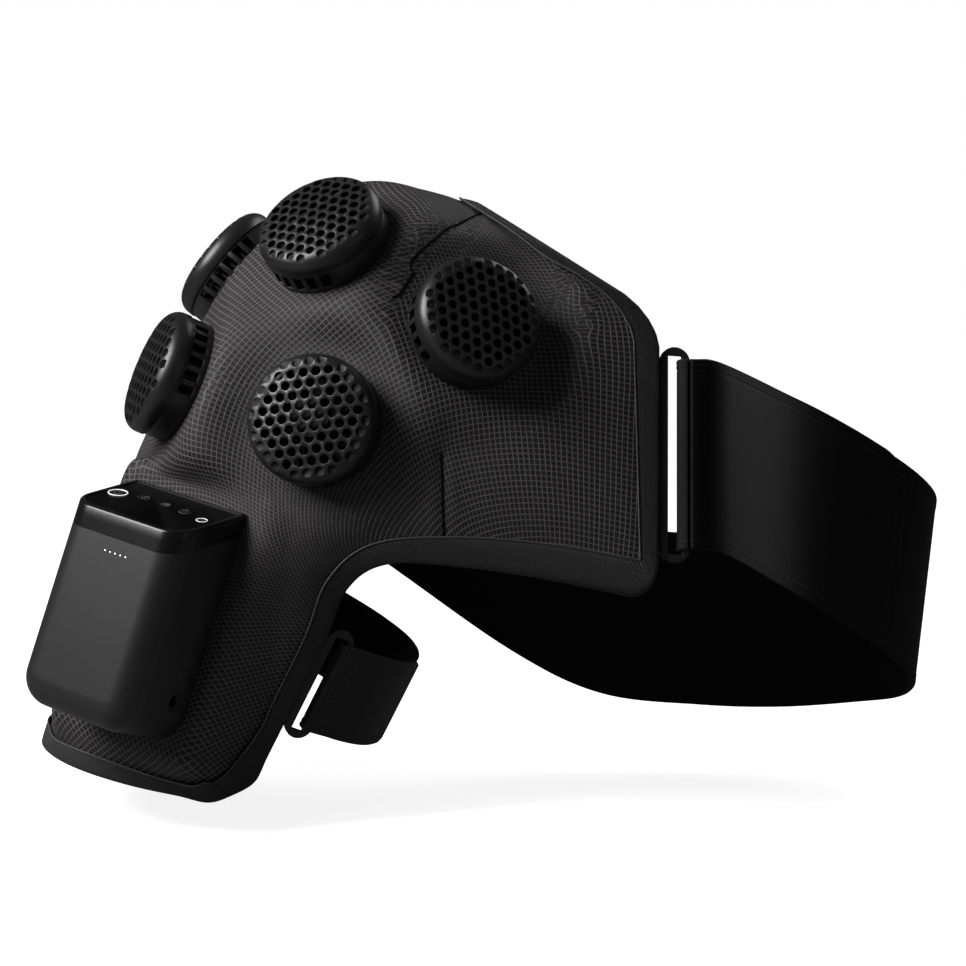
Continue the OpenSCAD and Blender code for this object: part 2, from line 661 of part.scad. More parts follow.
cell_back_y = -pack_wall - 0.4 - cell_d / 2;
holder_t = 1.6;
holder_z = pack_wall + 3.4;
// The holder stops short of the rounded foot of the case
holder_short = 3;
module battery_cells() {
    color("#3d7fb5") in_pack() for (side = [-0.5, 0.5]) for (row = [0, 1])
        translate([side * cell_pitch, cell_back_y - row * cell_pitch, holder_z + holder_t])
            cylinder(d = cell_d, h = cell_l, $fn = 64);
}
module cell_holder() {
    depth = cell_pitch + cell_d - holder_short;
    color("#4b4b4f") in_pack() union() {
        translate([-cell_pitch / 2 - cell_d / 2, cell_back_y + cell_d / 2 - depth, holder_z])
            cube([cell_pitch + cell_d, depth, holder_t]);
        for (side = [-1, 1]) translate([side * 10 - 1, cell_back_y - cell_d, pack_wall + seam])
            cube([2, 1.3 * cell_d, holder_z - pack_wall]);
    }
}
module charge_socket() {
    color("#141415") in_pack() translate([pack_w / 2, jack_y, jack_z]) rotate([0, -90, 0]) difference() {
        cylinder(r = jack_body_r, h = jack_l + 1.4, $fn = 64);
        translate([0, 0, -1]) cylinder(r = jack_r, h = jack_l + 1, $fn = 64);
    }
}
module pack_screws() {
    color("#8b8d91") in_pack() for (side = [-1, 1]) for (z = screw_zs)
        translate([side * screw_x, 0, z]) rotate([90, 0, 0]) {
            translate([0, 0, 0.2]) cylinder(r = 1.9, h = 1.05, $fn = small_fn);
            translate([0, 0, 1]) cylinder(r = screw_r, h = 10, $fn = small_fn);
        }
}

// ---------- rings and straps ----------
ring_t = 3;
ring_start = soft_gap + binding_t + 0.3;
fold_in = norm([ring_bar / 2, ring_t / 2]) + 0.15;
function ring_frame(c, n, e) =
    let (m = unit(n - (n * e) * e), o = cross(e, m))
    [[o.x, -m.x, e.x, c.x], [o.y, -m.y, e.y, c.y], [o.z, -m.z, e.z, c.z], [0, 0, 0, 1]];
function place(f, p) = let (q = f * [p.x, p.y, p.z, 1]) [q.x, q.y, q.z];
function turn(f, p) = let (q = f * [p.x, p.y, p.z, 0]) [q.x, q.y, q.z];
module stadium(w, l) {
    square([w, l - w], center = true);
    for (side = [-1, 1]) translate([0, side * (l - w) / 2]) circle(d = w, $fn = 64);
}
module ring_plate(slot, inner_l) {
    w = slot + 2 * ring_bar;
    translate([ring_start + w / 2, ring_t / 2, 0]) rotate([90, 0, 0]) linear_extrude(ring_t) difference() {
        stadium(w, inner_l + 2 * ring_bar);
        square([slot, inner_l], center = true);
    }
}
// Half turn of a strap round the bar of its ring, from the front of the bar to its back
fold_steps = 10;
strap_ws = [for (j = [0:4]) j / 4];
function fold_angles() = [for (i = [0:fold_steps - 1]) -90 - i * 180 / fold_steps];
function fold_grid(f, bar_x, t, w) = [for (a = fold_angles()) [for (v = strap_ws)
    place(f, [bar_x + (fold_in + t / 2) * cos(a), (fold_in + t / 2) * sin(a), (v - 0.5) * w])]];
function fold_normals(f) = [for (a = fold_angles()) [for (v = strap_ws) turn(f, [-cos(a), -sin(a), 0])]];

// Chest ring on the upright edge of the chest lobe
neck_corner_point = [neck_corner.x, -neck_corner.y, neck_corner.z];
lobe_corner_point = [lobe_corner.x, -lobe_corner.y, lobe_corner.z];
chest_up = unit(fabric_point(1, -0.6) - fabric_point(1, -0.9));
chest_ring_lift = 2;
chest_frame = ring_frame((neck_corner_point + lobe_corner_point) / 2 + chest_ring_lift * chest_up,
    fabric_normal(1, -0.76), chest_up);
chest_bar_x = ring_start + 1.5 * ring_bar + chest_slot;
module chest_ring() {
    color("#1a191a") multmatrix(chest_frame) ring_plate(chest_slot, chest_w + 4);
}
// Middle line of the chest strap, from the ring round the chest to the back lobe, with its width direction
strap_y = fold_in + chest_t / 2;
chest_path = [
    concat(place(chest_frame, [chest_bar_x, strap_y, 0]), turn(chest_frame, [0, 0, 1])),
    concat(place(chest_frame, [chest_bar_x + 20, strap_y - 0.6, 0]), turn(chest_frame, [0, 0, 1])),
    [227, -69, -43, 0.02, 0.20, 0.98],
    [260, -55, -63, 0.06, 0.12, 0.98],
    [286, -30, -82, 0.10, 0.04, 0.99],
    [298, 0, -96, 0.10, 0.00, 0.99],
    [296, 34, -109, 0.08, -0.02, 0.99],
    [276, 63, -117, 0.05, -0.04, 0.99],
    [236, 82, -123, 0.00, -0.05, 0.99],
    [193, 90, -123, 0.00, -0.03, 0.99],
    [140, 93, -117, 0.00, 0.00, 1.00],
    [92, 93.5, -94, 0.00, 0.00, 1.00],
    [24, 93.5, -46, 0.00, 0.00, 1.00]];
function path_point(path, width, s, w) =
    let (q = spline(path, s)) [q[0], q[1], q[2]] + (w - 0.5) * width * unit([q[3], q[4], q[5]]);
function path_normal(path, s) =
    let (d = 0.004, a = spline(path, clamp(s - d, 0, 1)), b = spline(path, clamp(s + d, 0, 1)))
    let (q = spline(path, s), along = [b[0] - a[0], b[1] - a[1], b[2] - a[2]])
    unit(cross(along, [q[3], q[4], q[5]]));
// One band: the fold round the bar, then the loop along its path
module strap_band(f, bar_x, path, width, t, cells) {
    ss = [for (i = [0:cells]) i / cells];
    slab(concat(fold_grid(f, bar_x, t, width), [for (s = ss) [for (w = strap_ws) path_point(path, width, s, w)]]),
        concat(fold_normals(f), [for (s = ss) [for (w = strap_ws) path_normal(path, s)]]), -t / 2, t / 2);
}
// The flap lies over the strap; it starts at the front of the fold and ends in round corners
flap_spread = 0.09;
flap_corner = 0.12;
function flap_lift(t, s) = t + soft_gap + (2 * fold_in - soft_gap) * (1 - smooth(s / flap_spread));
module strap_flap(path, width, t, share, cells) {
    start = 0.005;
    ws = [0, flap_corner / 2, flap_corner, 0.3, 0.5, 0.7, 1 - flap_corner, 1 - flap_corner / 2, 1];
    corner_s = share * 0.12;
    ss = [for (i = [0:cells]) mix(start, share, i / cells)];
    function round_end(s, w) =
        let (a = (s - share + corner_s) / corner_s, b = (abs(w - 0.5) - 0.5 + flap_corner) / flap_corner)
        a > 0 && b > 0
        ? let (k = squeeze(a, b))
            [share - corner_s + a * k * corner_s, 0.5 + (w < 0.5 ? -1 : 1) * (0.5 - flap_corner + b * k * flap_corner)]
        : [s, w];
    grid = [for (s = ss) [for (w = ws) let (q = round_end(s, w))
        path_point(path, width, q[0], q[1]) + flap_lift(t, q[0]) * path_normal(path, q[0])]];
    normals = [for (s = ss) [for (w = ws) path_normal(path, round_end(s, w)[0])]];
    slab(grid, normals, -t / 2, t / 2);
}
module chest_strap() {
    color("#161516") strap_band(chest_frame, chest_bar_x, chest_path, chest_w, chest_t, 44);
}
module chest_flap() {
    color("#171617") strap_flap(chest_path, chest_w, chest_t, flap_share, 20);
}

// Arm ring on the front edge of the sleeve
arm_ring_u = 0.215;
arm_up = unit(fabric_point(arm_ring_u + 0.06, -1) - fabric_point(arm_ring_u - 0.06, -1));
arm_frame = ring_frame(fabric_point(arm_ring_u, -1), fabric_normal(arm_ring_u, -0.99), arm_up);
arm_bar_x = ring_start + 1.5 * ring_bar + arm_slot;
arm_across = unit(cross([0, 1, 0], arm_up));
arm_strap_y = fold_in + arm_t / 2;
arm_zero = place(arm_frame, [arm_bar_x, arm_strap_y, 0]);
module arm_ring() {
    color("#232223") multmatrix(arm_frame) ring_plate(arm_slot, arm_w + 3.5);
}
// Middle line of the arm strap, square to the sleeve edge: distance across, depth
arm_route = [[14, 5], [27, 22], [34, 45], [36, 68], [34, 92], [27, 115], [12, 136], [-4, 148], [-17, 153], [-33, 155]];
arm_path = concat(
    [concat(arm_zero, arm_up)],
    [for (q = arm_route) concat(arm_zero + q[0] * arm_across + [0, q[1], 0], arm_up)]);
arm_flap_share = 0.33;
module arm_strap() {
    color("#1b1a1b") strap_band(arm_frame, arm_bar_x, arm_path, arm_w, arm_t, 30);
}
module arm_flap() {
    color("#2a292a") strap_flap(arm_path, arm_w, arm_t, arm_flap_share, 12);
}

wrap_shell();
wrap_lining();
edge_binding();
grille_cap(0);  // grille_cap_1
grille_cap(1);  // grille_cap_2
grille_cap(2);  // grille_cap_3
grille_cap(3);  // grille_cap_4
grille_cap(4);  // grille_cap_5
vent_housing(0);  // vent_housing_1
vent_housing(1);  // vent_housing_2
vent_housing(2);  // vent_housing_3
vent_housing(3);  // vent_housing_4
vent_housing(4);  // vent_housing_5
fan_rotor(0);  // fan_rotor_1
fan_rotor(1);  // fan_rotor_2
fan_rotor(2);  // fan_rotor_3
fan_rotor(3);  // fan_rotor_4
fan_rotor(4);  // fan_rotor_5
fan_motor(0);  // fan_motor_1
fan_motor(1);  // fan_motor_2
fan_motor(2);  // fan_motor_3
fan_motor(3);  // fan_motor_4
fan_motor(4);  // fan_motor_5
heat_sink(0);  // heat_sink_1
heat_sink(1);  // heat_sink_2
heat_sink(2);  // heat_sink_3
heat_sink(3);  // heat_sink_4
heat_sink(4);  // heat_sink_5
contact_plate(0);  // contact_plate_1
contact_plate(1);  // contact_plate_2
contact_plate(2);  // contact_plate_3
contact_plate(3);  // contact_plate_4
contact_plate(4);  // contact_plate_5
peltier_tiles();
plate_screws();
pack_front_case();
pack_back_case();
pack_dock();
pack_bezel();
key_panel();
panel_key(0);  // key_1
panel_key(1);  // key_2
panel_key(2);  // key_3
panel_key(3);  // key_4
panel_key(4);  // key_5
key_switches();
level_lights();
battery_cells();
cell_holder();
control_board();
charge_socket();
pack_screws();
chest_ring();
chest_strap();
chest_flap();
arm_ring();
arm_strap();
arm_flap();
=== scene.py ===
"""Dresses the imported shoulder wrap: fabric, tape, straps, icons and finishes, in metres, in the frame of the
CAD.

Shapes are worked out in millimetres as numpy surfaces and scaled once, when a mesh is made.
"""
import json

import bmesh
import bpy
import numpy as np
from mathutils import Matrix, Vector

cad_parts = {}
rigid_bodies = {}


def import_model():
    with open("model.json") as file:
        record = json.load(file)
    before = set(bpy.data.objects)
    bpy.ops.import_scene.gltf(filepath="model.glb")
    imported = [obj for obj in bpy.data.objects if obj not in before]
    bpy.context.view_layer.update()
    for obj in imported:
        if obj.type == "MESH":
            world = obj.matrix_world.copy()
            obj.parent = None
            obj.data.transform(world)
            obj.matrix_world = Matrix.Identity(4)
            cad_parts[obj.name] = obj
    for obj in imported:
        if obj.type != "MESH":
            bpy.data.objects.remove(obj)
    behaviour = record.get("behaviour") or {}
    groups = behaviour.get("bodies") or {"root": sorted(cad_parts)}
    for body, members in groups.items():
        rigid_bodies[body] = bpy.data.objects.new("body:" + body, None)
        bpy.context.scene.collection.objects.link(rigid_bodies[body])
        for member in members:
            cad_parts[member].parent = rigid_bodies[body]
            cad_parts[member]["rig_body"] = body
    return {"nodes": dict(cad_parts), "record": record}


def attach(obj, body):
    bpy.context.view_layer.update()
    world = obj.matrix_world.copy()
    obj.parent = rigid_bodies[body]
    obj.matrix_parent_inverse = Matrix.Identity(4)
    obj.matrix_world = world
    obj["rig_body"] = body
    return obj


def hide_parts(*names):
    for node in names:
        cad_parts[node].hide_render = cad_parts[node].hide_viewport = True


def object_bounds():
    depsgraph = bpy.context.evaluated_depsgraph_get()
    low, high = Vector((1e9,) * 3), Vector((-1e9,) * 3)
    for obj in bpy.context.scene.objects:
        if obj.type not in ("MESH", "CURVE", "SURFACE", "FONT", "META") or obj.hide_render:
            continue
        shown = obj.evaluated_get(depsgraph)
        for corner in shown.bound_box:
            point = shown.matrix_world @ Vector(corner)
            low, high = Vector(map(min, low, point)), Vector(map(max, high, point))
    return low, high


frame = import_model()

CAD_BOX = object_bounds()
NODES = frame["nodes"]
MM = 0.001

bl_info = {
    "name": "Shoulder wrap dressing",
    "version": (1, 0, 0),
    "blender": (4, 5, 0),
    "location": "View3D > Sidebar > Shoulder wrap",
    "description": "Builds the fabric, tape, straps, icons and finishes of the shoulder wrap",
    "category": "Object",
}


# ---------- curves and vectors ----------
def unit(v):
    """Each vector divided by its own length."""
    v = np.asarray(v, float)
    return v / np.linalg.norm(v, axis=-1, keepdims=True)


def smooth(x):
    """3x^2 - 2x^3 with x held between 0 and 1."""
    c = np.clip(x, 0, 1)
    return c * c * (3 - 2 * c)


def mix(a, b, f):
    """a at f 0, b at f 1."""
    return a + (b - a) * f


def spline(points, x):
    """Catmull-Rom curve through the rows of points, x from 0 to 1, end tangents along the end chords."""
    p = np.asarray(points, float)
    last = len(p) - 1
    s = np.clip(np.asarray(x, float), 0, 1) * last
    i = np.minimum(s.astype(int), last - 1)
    f = (s - i)[..., None]
    far = np.concatenate([[2 * p[0] - p[1]], p, [2 * p[-1] - p[-2]]])
    a, b, c, d = far[i], far[i + 1], far[i + 2], far[i + 3]
    return b + 0.5 * f * (c - a + f * (2 * a - 5 * b + 4 * c - d + f * (3 * (b - c) + d - a)))


# ---------- the fabric surface, the same formula as the CAD ----------
# Ridge x, ridge z, edge x, edge z, half depth at the edge, sweep angle from ridge to edge
STATIONS = np.array([
    [-141, -171, -39, -188, 70, 110],
    [-122, -116, -19, -148, 72, 112],
    [-103, -62, 0, -110, 74, 114],
    [-89, -18, 11, -84, 78, 112],
    [-58, 36, 31, -71, 84, 106],
    [-28, 83, 70, -73, 86, 102],
    [22, 104, 113, -80, 84, 100],
    [73, 94, 158, -90, 80, 98]], float)
NECK_CORNER = np.array([160.0, 42.0, 42.0])
LOBE_CORNER = STATIONS[-1][[2, 4, 3]]
# Place (u, t), outward direction and vent direction of each module
SEATS = [
    (0.750, -0.285, (-0.35, -0.62, 0.70), (-0.5, -0.5, -0.8)),
    (0.640, 0.150, (-0.77, 0.15, 0.62), (0, -1, 0)),
    (0.513, -0.205, (-0.87, -0.30, 0.39), (0.3, -0.9, 0.5)),
    (0.600, -0.620, (-0.20, -0.95, 0.22), (0.15, 0, -1)),
    (0.800, -0.550, (0.38, -0.84, 0.38), (-1, 0, -0.1))]
SHELL_T = 3.0
LINING_GAP = 0.2
LINING_T = 2.0
NECK_R = 23.4
MODULE_R = 31.0


def arch(st, s):
    """Arch of a station: angle a = s * sweep, f = (1 - cos a) / (1 - cos sweep); x and z go from ridge to edge
    by f, y = half depth * sin a / sin sweep."""
    sweep = np.radians(st[..., 5])
    a = s * sweep
    f = (1 - np.cos(a)) / (1 - np.cos(sweep))
    y = st[..., 4] * np.sin(a) / np.sin(sweep)
    return np.stack([mix(st[..., 0], st[..., 2], f), y, mix(st[..., 1], st[..., 3], f)], -1)


def lobe_sharp(s):
    """Open edge at the neck: a quarter ellipse from the ridge to the neck corner, then a straight line to the
    lobe corner."""
    q = np.radians(180 * s)
    f = 1 - np.cos(q)
    ridge = STATIONS[-1]
    up = np.stack([mix(ridge[0], NECK_CORNER[0], f), NECK_CORNER[1] * np.sin(q),
                   mix(ridge[1], NECK_CORNER[2], f)], -1)
    down = NECK_CORNER + (LOBE_CORNER - NECK_CORNER) * (2 * s - 1)[..., None]
    return np.where((s < 0.5)[..., None], up, down)


def lobe_edge(s):
    """lobe_sharp averaged over five close places, which rounds the neck corner."""
    d = 0.06 * (1 - s) * np.minimum(2 * s, 1)
    return sum(lobe_sharp(np.clip(s + j * d, 0, 1)) for j in range(-2, 3)) / 5


def free_surface(u, t):
    """Surface before it is pressed flat: the arch at u, moved by g(u) * (lobe edge - last arch), g = clamp((u
    - 0.35) / 0.65)^1.5."""
    s = np.abs(t)
    g = np.clip((u - 0.35) / 0.65, 0, 1) ** 1.5
    p = arch(spline(STATIONS, u), s) + g[..., None] * (lobe_edge(s) - arch(STATIONS[-1], s))
    p[..., 1] *= np.where(t < 0, -1, 1)
    return p


def at(surface, u, t):
    """One point of a surface."""
    return surface(np.array([float(u)]), np.array([float(t)]))[0]


SEAT_C = [at(free_surface, s[0], s[1]) for s in SEATS]
SEAT_N = [unit(s[2]) for s in SEATS]
PACK_OUT = unit([-0.504, -0.827, 0.247])
PACK_UP = unit(np.array([0.296, 0.103, 0.95]) - (np.array([0.296, 0.103, 0.95]) @ PACK_OUT) * PACK_OUT)
PACK_SIDE = np.cross(PACK_UP, PACK_OUT)
PACK_C = at(free_surface, 0.225, -0.49) - 2 * PACK_OUT
PACK_W, PACK_D, PACK_H, PACK_SLOPE = 70.0, 44.0, 114.0, 0.4


def pull(p, centre, normal, weight):
    """Weight and height above a seat plane; the weight fades out between 30 and 40 mm from the plane."""
    h = (p - centre) @ normal
    return weight(p - centre, h) * (1 - smooth((abs(h) - 30) / 10)), h[..., None] * normal


def seat_weight(q, h, normal):
    """1 within 36 mm of a module axis, falling smoothly to 0 over the next 24 mm."""
    return 1 - smooth((np.linalg.norm(q - h[..., None] * normal, axis=-1) - 36) / 24)


def pack_weight(q, h):
    """1 under the pack and 4 mm round it, falling smoothly to 0 over the next 18 mm."""
    across = (abs(q @ PACK_SIDE) - PACK_W / 2 - 4) / 18
    along = (abs(q @ PACK_UP) - PACK_H / 2 - 4) / 18
    return (1 - smooth(across)) * (1 - smooth(along))


def fabric(u, t):
    """free_surface pressed flat under every module and the pack: pull k counts as w / (1 - w), so the nearest
    seat leads."""
    u, t = np.broadcast_arrays(np.asarray(u, float), np.asarray(t, float))
    p = free_surface(u, t)
    pulls = [pull(p, c, n, lambda q, h, n=n: seat_weight(q, h, n)) for c, n in zip(SEAT_C, SEAT_N)]
    pulls.append(pull(p, PACK_C, PACK_OUT, pack_weight))
    w = np.array([a for a, _ in pulls])
    own = w / (1.0001 - w)
    strength = 1 - np.prod(1 - w, axis=0)
    moved = sum(own[k][..., None] * pulls[k][1] for k in range(len(w)))
    return p - (strength / np.maximum(own.sum(0), 1e-9))[..., None] * moved


def fabric_normal(u, t, d=0.004):
    """Outward normal from central differences of fabric over u and t."""
    u, t = np.broadcast_arrays(np.asarray(u, float), np.asarray(t, float))
    du = fabric(np.clip(u + d, 0, 1), t) - fabric(np.clip(u - d, 0, 1), t)
    dt = fabric(u, np.clip(t + d, -1, 1)) - fabric(u, np.clip(t - d, -1, 1))
    return unit(np.cross(du, dt))


HEM_U, HEM_T, LOBE_U, LOBE_T = 22 / 440, 22 / 150, 15 / 330, 15 / 230


def round_corner(a, b):
    """Scale that turns a square corner region into a quarter disc: max(a, b) / length of (a, b)."""
    return np.maximum(a, b) / np.maximum(np.hypot(a, b), 1e-6)


def outline(u, t):
    """The unit rectangle of u and t with its four corners rounded by round_corner."""
    u, t = np.broadcast_arrays(np.asarray(u, float), np.asarray(t, float))
    s, side = np.abs(t), np.where(t < 0, -1, 1)
    ha, hb = (HEM_U - u) / HEM_U, (s - 1 + HEM_T) / HEM_T
    la, lb = (u - 1 + LOBE_U) / LOBE_U, (s - 1 + LOBE_T) / LOBE_T
    hem, lobe = (ha > 0) & (hb > 0), (la > 0) & (lb > 0)
    hk, lk = round_corner(ha, hb), round_corner(la, lb)
    nu = np.where(hem, HEM_U - ha * hk * HEM_U, np.where(lobe, 1 - LOBE_U + la * lk * LOBE_U, u))
    ns = np.where(hem, 1 - HEM_T + hb * hk * HEM_T, np.where(lobe, 1 - LOBE_T + lb * lk * LOBE_T, s))
    return nu, side * ns


# ---------- meshes ----------
def grid_faces(rows, cols, wrap_rows=False, wrap_cols=False):
    """Quads of a grid of rows x cols points; a wrapped side joins back to its start."""
    i = np.arange(rows if wrap_rows else rows - 1)
    j = np.arange(cols if wrap_cols else cols - 1)
    i, j = np.meshgrid(i, j, indexing="ij")
    i2, j2 = (i + 1) % rows, (j + 1) % cols
    return np.stack([i * cols + j, i * cols + j2, i2 * cols + j2, i2 * cols + j], -1).reshape(-1, 4)


def slab_faces(rows, cols):
    """Quads of a closed slab whose upper grid comes first and lower grid second, with the rim between them."""
    upper = grid_faces(rows, cols)[:, ::-1]
    size = rows * cols
    index = np.arange(size).reshape(rows, cols)
    rim = np.concatenate([index[0, :-1], index[:-1, -1], index[-1, :0:-1], index[:0:-1, 0]])
    nxt = np.roll(rim, -1)
    side = np.stack([rim, nxt, nxt + size, rim + size], -1)
    return np.concatenate([upper, upper[:, ::-1] + size, side])


def make_mesh(name, points, faces, material, body="wrap", uv=None, smooth_faces=True):
    """One object from points in mm and quads or triangles; uv is one pair per point."""
    mesh = bpy.data.meshes.new(name)
    mesh.from_pydata((np.asarray(points, float).reshape(-1, 3) * MM).tolist(), [], faces.tolist())
    mesh.polygons.foreach_set("use_smooth", np.full(len(faces), smooth_faces))
    if uv is not None:
        layer = mesh.uv_layers.new(name="cloth")
        corner = np.empty(len(mesh.loops), dtype=np.int32)
        mesh.loops.foreach_get("vertex_index", corner)
        layer.data.foreach_set("uv", np.asarray(uv, np.float32).reshape(-1, 2)[corner].ravel())
    mesh.materials.append(material)
    mesh.update()
    obj = bpy.data.objects.new(name, mesh)
    bpy.context.scene.collection.objects.link(obj)
    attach(obj, body)
    return obj


def arc_lengths(points, axis):
    """Running length along one axis of a grid of points, starting at 0."""
    step = np.linalg.norm(np.diff(points, axis=axis), axis=-1)
    zero = np.zeros_like(np.take(step, [0], axis))
    return np.concatenate([zero, np.cumsum(step, axis)], axis)


def tube(path, radius, sides, closed=False):
    """Circle of a radius carried along a path with frames that turn as little as possible."""
    path = np.asarray(path, float)
    tangent = unit(np.roll(path, -1, 0) - np.roll(path, 1, 0)) if closed else unit(np.gradient(path, axis=0))
    up = np.array([0.0, 0.0, 1.0])
    side = unit(np.cross(tangent, up) + 1e-6)
    other = np.cross(side, tangent)
    a = np.arange(sides) * 2 * np.pi / sides
    ring = np.cos(a)[None, :, None] * side[:, None] + np.sin(a)[None, :, None] * other[:, None]
    return path[:, None] + radius * ring, grid_faces(len(path), sides, closed, True)




# ---------- materials ----------
def new_group(name, inputs, outputs):
    """An empty shader node group with float or colour sockets; returns the tree and its two end nodes."""
    tree = bpy.data.node_groups.new(name, "ShaderNodeTree")
    for label, kind, value in inputs:
        socket = tree.interface.new_socket(label, in_out="INPUT", socket_type=kind)
        socket.default_value = value
    for label, kind in outputs:
        tree.interface.new_socket(label, in_out="OUTPUT", socket_type=kind)
    return tree, tree.nodes.new("NodeGroupInput"), tree.nodes.new("NodeGroupOutput")


def math_node(tree, operation, a, b=None, clamp=False):
    """A Math node; a and b are sockets or numbers."""
    node = tree.nodes.new("ShaderNodeMath")
    node.operation = operation
    node.use_clamp = clamp
    for k, v in enumerate((a, b)):
        if v is None:
            continue
        if isinstance(v, (int, float)):
            node.inputs[k].default_value = v
        else:
            tree.links.new(v, node.inputs[k])
    return node.outputs[0]


def colour_mix(tree, mask, low, high):
    """Colour mix of low and high by mask; low and high are sockets or 4 numbers."""
    node = tree.nodes.new("ShaderNodeMix")
    node.data_type = "RGBA"
    tree.links.new(mask, node.inputs["Factor"])
    for socket, v in ((node.inputs[6], low), (node.inputs[7], high)):
        if isinstance(v, (tuple, list)):
            socket.default_value = v
        else:
            tree.links.new(v, socket)
    return node.outputs[2]


def grain_group():
    """Fine moulded grain on Object coordinates: a 0..1 mask of soft variation and a height for a bump."""
    tree, gin, gout = new_group("moulded grain",
        [("Grain per metre", "NodeSocketFloat", 2500.0), ("Patches per metre", "NodeSocketFloat", 60.0)],
        [("Mask", "NodeSocketFloat"), ("Height", "NodeSocketFloat")])
    coord = tree.nodes.new("ShaderNodeTexCoord")
    for socket, label, detail in (("Grain per metre", "Height", 2.0), ("Patches per metre", "Mask", 3.0)):
        noise = tree.nodes.new("ShaderNodeTexNoise")
        noise.inputs["Detail"].default_value = detail
        tree.links.new(coord.outputs["Object"], noise.inputs["Vector"])
        tree.links.new(gin.outputs[socket], noise.inputs["Scale"])
        tree.links.new(noise.outputs["Fac"], gout.inputs[label])
    return tree


def lattice_group():
    """Woven lattice on the cloth UV map, in mm: raised square cell lines over a fine plain weave.

    Each family of lines is a narrow ridge of |fract(x / cell) - 0.5|, the fine weave is sin(x) * sin(y)."""
    tree, gin, gout = new_group("raised lattice weave",
        [("Cell in mm", "NodeSocketFloat", 2.6), ("Line share", "NodeSocketFloat", 0.16),
         ("Turn", "NodeSocketFloat", -0.26), ("Thread in mm", "NodeSocketFloat", 0.5)],
        [("Lines", "NodeSocketFloat"), ("Threads", "NodeSocketFloat"), ("Height", "NodeSocketFloat")])
    uv = tree.nodes.new("ShaderNodeUVMap")
    uv.uv_map = "cloth"
    turn = tree.nodes.new("ShaderNodeVectorRotate")
    turn.rotation_type = "Z_AXIS"
    tree.links.new(uv.outputs["UV"], turn.inputs["Vector"])
    tree.links.new(gin.outputs["Turn"], turn.inputs["Angle"])
    parts = tree.nodes.new("ShaderNodeSeparateXYZ")
    tree.links.new(turn.outputs["Vector"], parts.inputs[0])
    ridges, waves = [], []
    for axis in (0, 1):
        cell = math_node(tree, "DIVIDE", parts.outputs[axis], gin.outputs["Cell in mm"])
        tri = math_node(tree, "ABSOLUTE", math_node(tree, "SUBTRACT", math_node(tree, "FRACT", cell), 0.5))
        rise = math_node(tree, "DIVIDE", math_node(tree, "SUBTRACT", tri, math_node(
            tree, "SUBTRACT", 0.5, gin.outputs["Line share"])), gin.outputs["Line share"], clamp=True)
        ridges.append(math_node(tree, "MULTIPLY", rise, 1.8, clamp=True))
        thread = math_node(tree, "DIVIDE", parts.outputs[axis], gin.outputs["Thread in mm"])
        waves.append(math_node(tree, "SINE", math_node(tree, "MULTIPLY", thread, 6.2832)))
    lines = math_node(tree, "MAXIMUM", ridges[0], ridges[1])
    weave = math_node(tree, "MULTIPLY_ADD", math_node(tree, "MULTIPLY", waves[0], waves[1]), 0.5)
    weave.node.inputs[2].default_value = 0.5
    height = math_node(tree, "ADD", lines, math_node(tree, "MULTIPLY", weave, 0.35))
    tree.links.new(lines, gout.inputs["Lines"])
    tree.links.new(weave, gout.inputs["Threads"])
    tree.links.new(height, gout.inputs["Height"])
    return tree


def ribs_group():
    """Ribs across a tape on the cloth UV map in mm: 0.5 + 0.5 sin(2 pi x / pitch), crossed with a fainter
    thread."""
    tree, gin, gout = new_group("tape ribs",
        [("Pitch in mm", "NodeSocketFloat", 1.0), ("Thread in mm", "NodeSocketFloat", 0.7)],
        [("Ribs", "NodeSocketFloat"), ("Height", "NodeSocketFloat")])
    uv = tree.nodes.new("ShaderNodeUVMap")
    uv.uv_map = "cloth"
    parts = tree.nodes.new("ShaderNodeSeparateXYZ")
    tree.links.new(uv.outputs["UV"], parts.inputs[0])
    waves = []
    for axis, label in ((0, "Pitch in mm"), (1, "Thread in mm")):
        x = math_node(tree, "DIVIDE", parts.outputs[axis], gin.outputs[label])
        wave = math_node(tree, "MULTIPLY_ADD", math_node(tree, "SINE",
            math_node(tree, "MULTIPLY", x, 6.2832)), 0.5)
        wave.node.inputs[2].default_value = 0.5
        waves.append(wave)
    tree.links.new(waves[0], gout.inputs["Ribs"])
    tree.links.new(math_node(tree, "ADD", waves[0], math_node(tree, "MULTIPLY", waves[1], 0.3)),
        gout.inputs["Height"])
    return tree


def group_node(tree, group, **values):
    """A group placed in a material with its own values; a value's name has underscores for spaces."""
    node = tree.nodes.new("ShaderNodeGroup")
    node.node_tree = group
    for label, v in values.items():
        node.inputs[label.replace("_", " ")].default_value = v
    return node


def material(name, roughness, metallic=0.0, specular=0.5, sheen=0.0, coat=0.0):
    """A Principled material whose constants are set on its own sockets; returns the material, tree and
    shader."""
    mat = bpy.data.materials.new(name)
    mat.use_nodes = True
    tree = mat.node_tree
    shader = tree.nodes["Principled BSDF"]
    shader.inputs["Roughness"].default_value = roughness
    shader.inputs["Metallic"].default_value = metallic
    shader.inputs["Specular IOR Level"].default_value = specular
    shader.inputs["Sheen Weight"].default_value = sheen
    shader.inputs["Coat Weight"].default_value = coat
    return mat, tree, shader


def bump(tree, shader, height, distance, strength=1.0):
    """Feeds a height in 0..1 to the shader's normal, distance in metres."""
    node = tree.nodes.new("ShaderNodeBump")
    node.inputs["Distance"].default_value = distance
    node.inputs["Strength"].default_value = strength
    tree.links.new(height, node.inputs["Height"])
    tree.links.new(node.outputs["Normal"], shader.inputs["Normal"])


def grey(value, warm=0.0):
    """A grey with a slight warm cast."""
    return (value * (1 + warm), value, value * (1 + 0.5 * warm), 1.0)


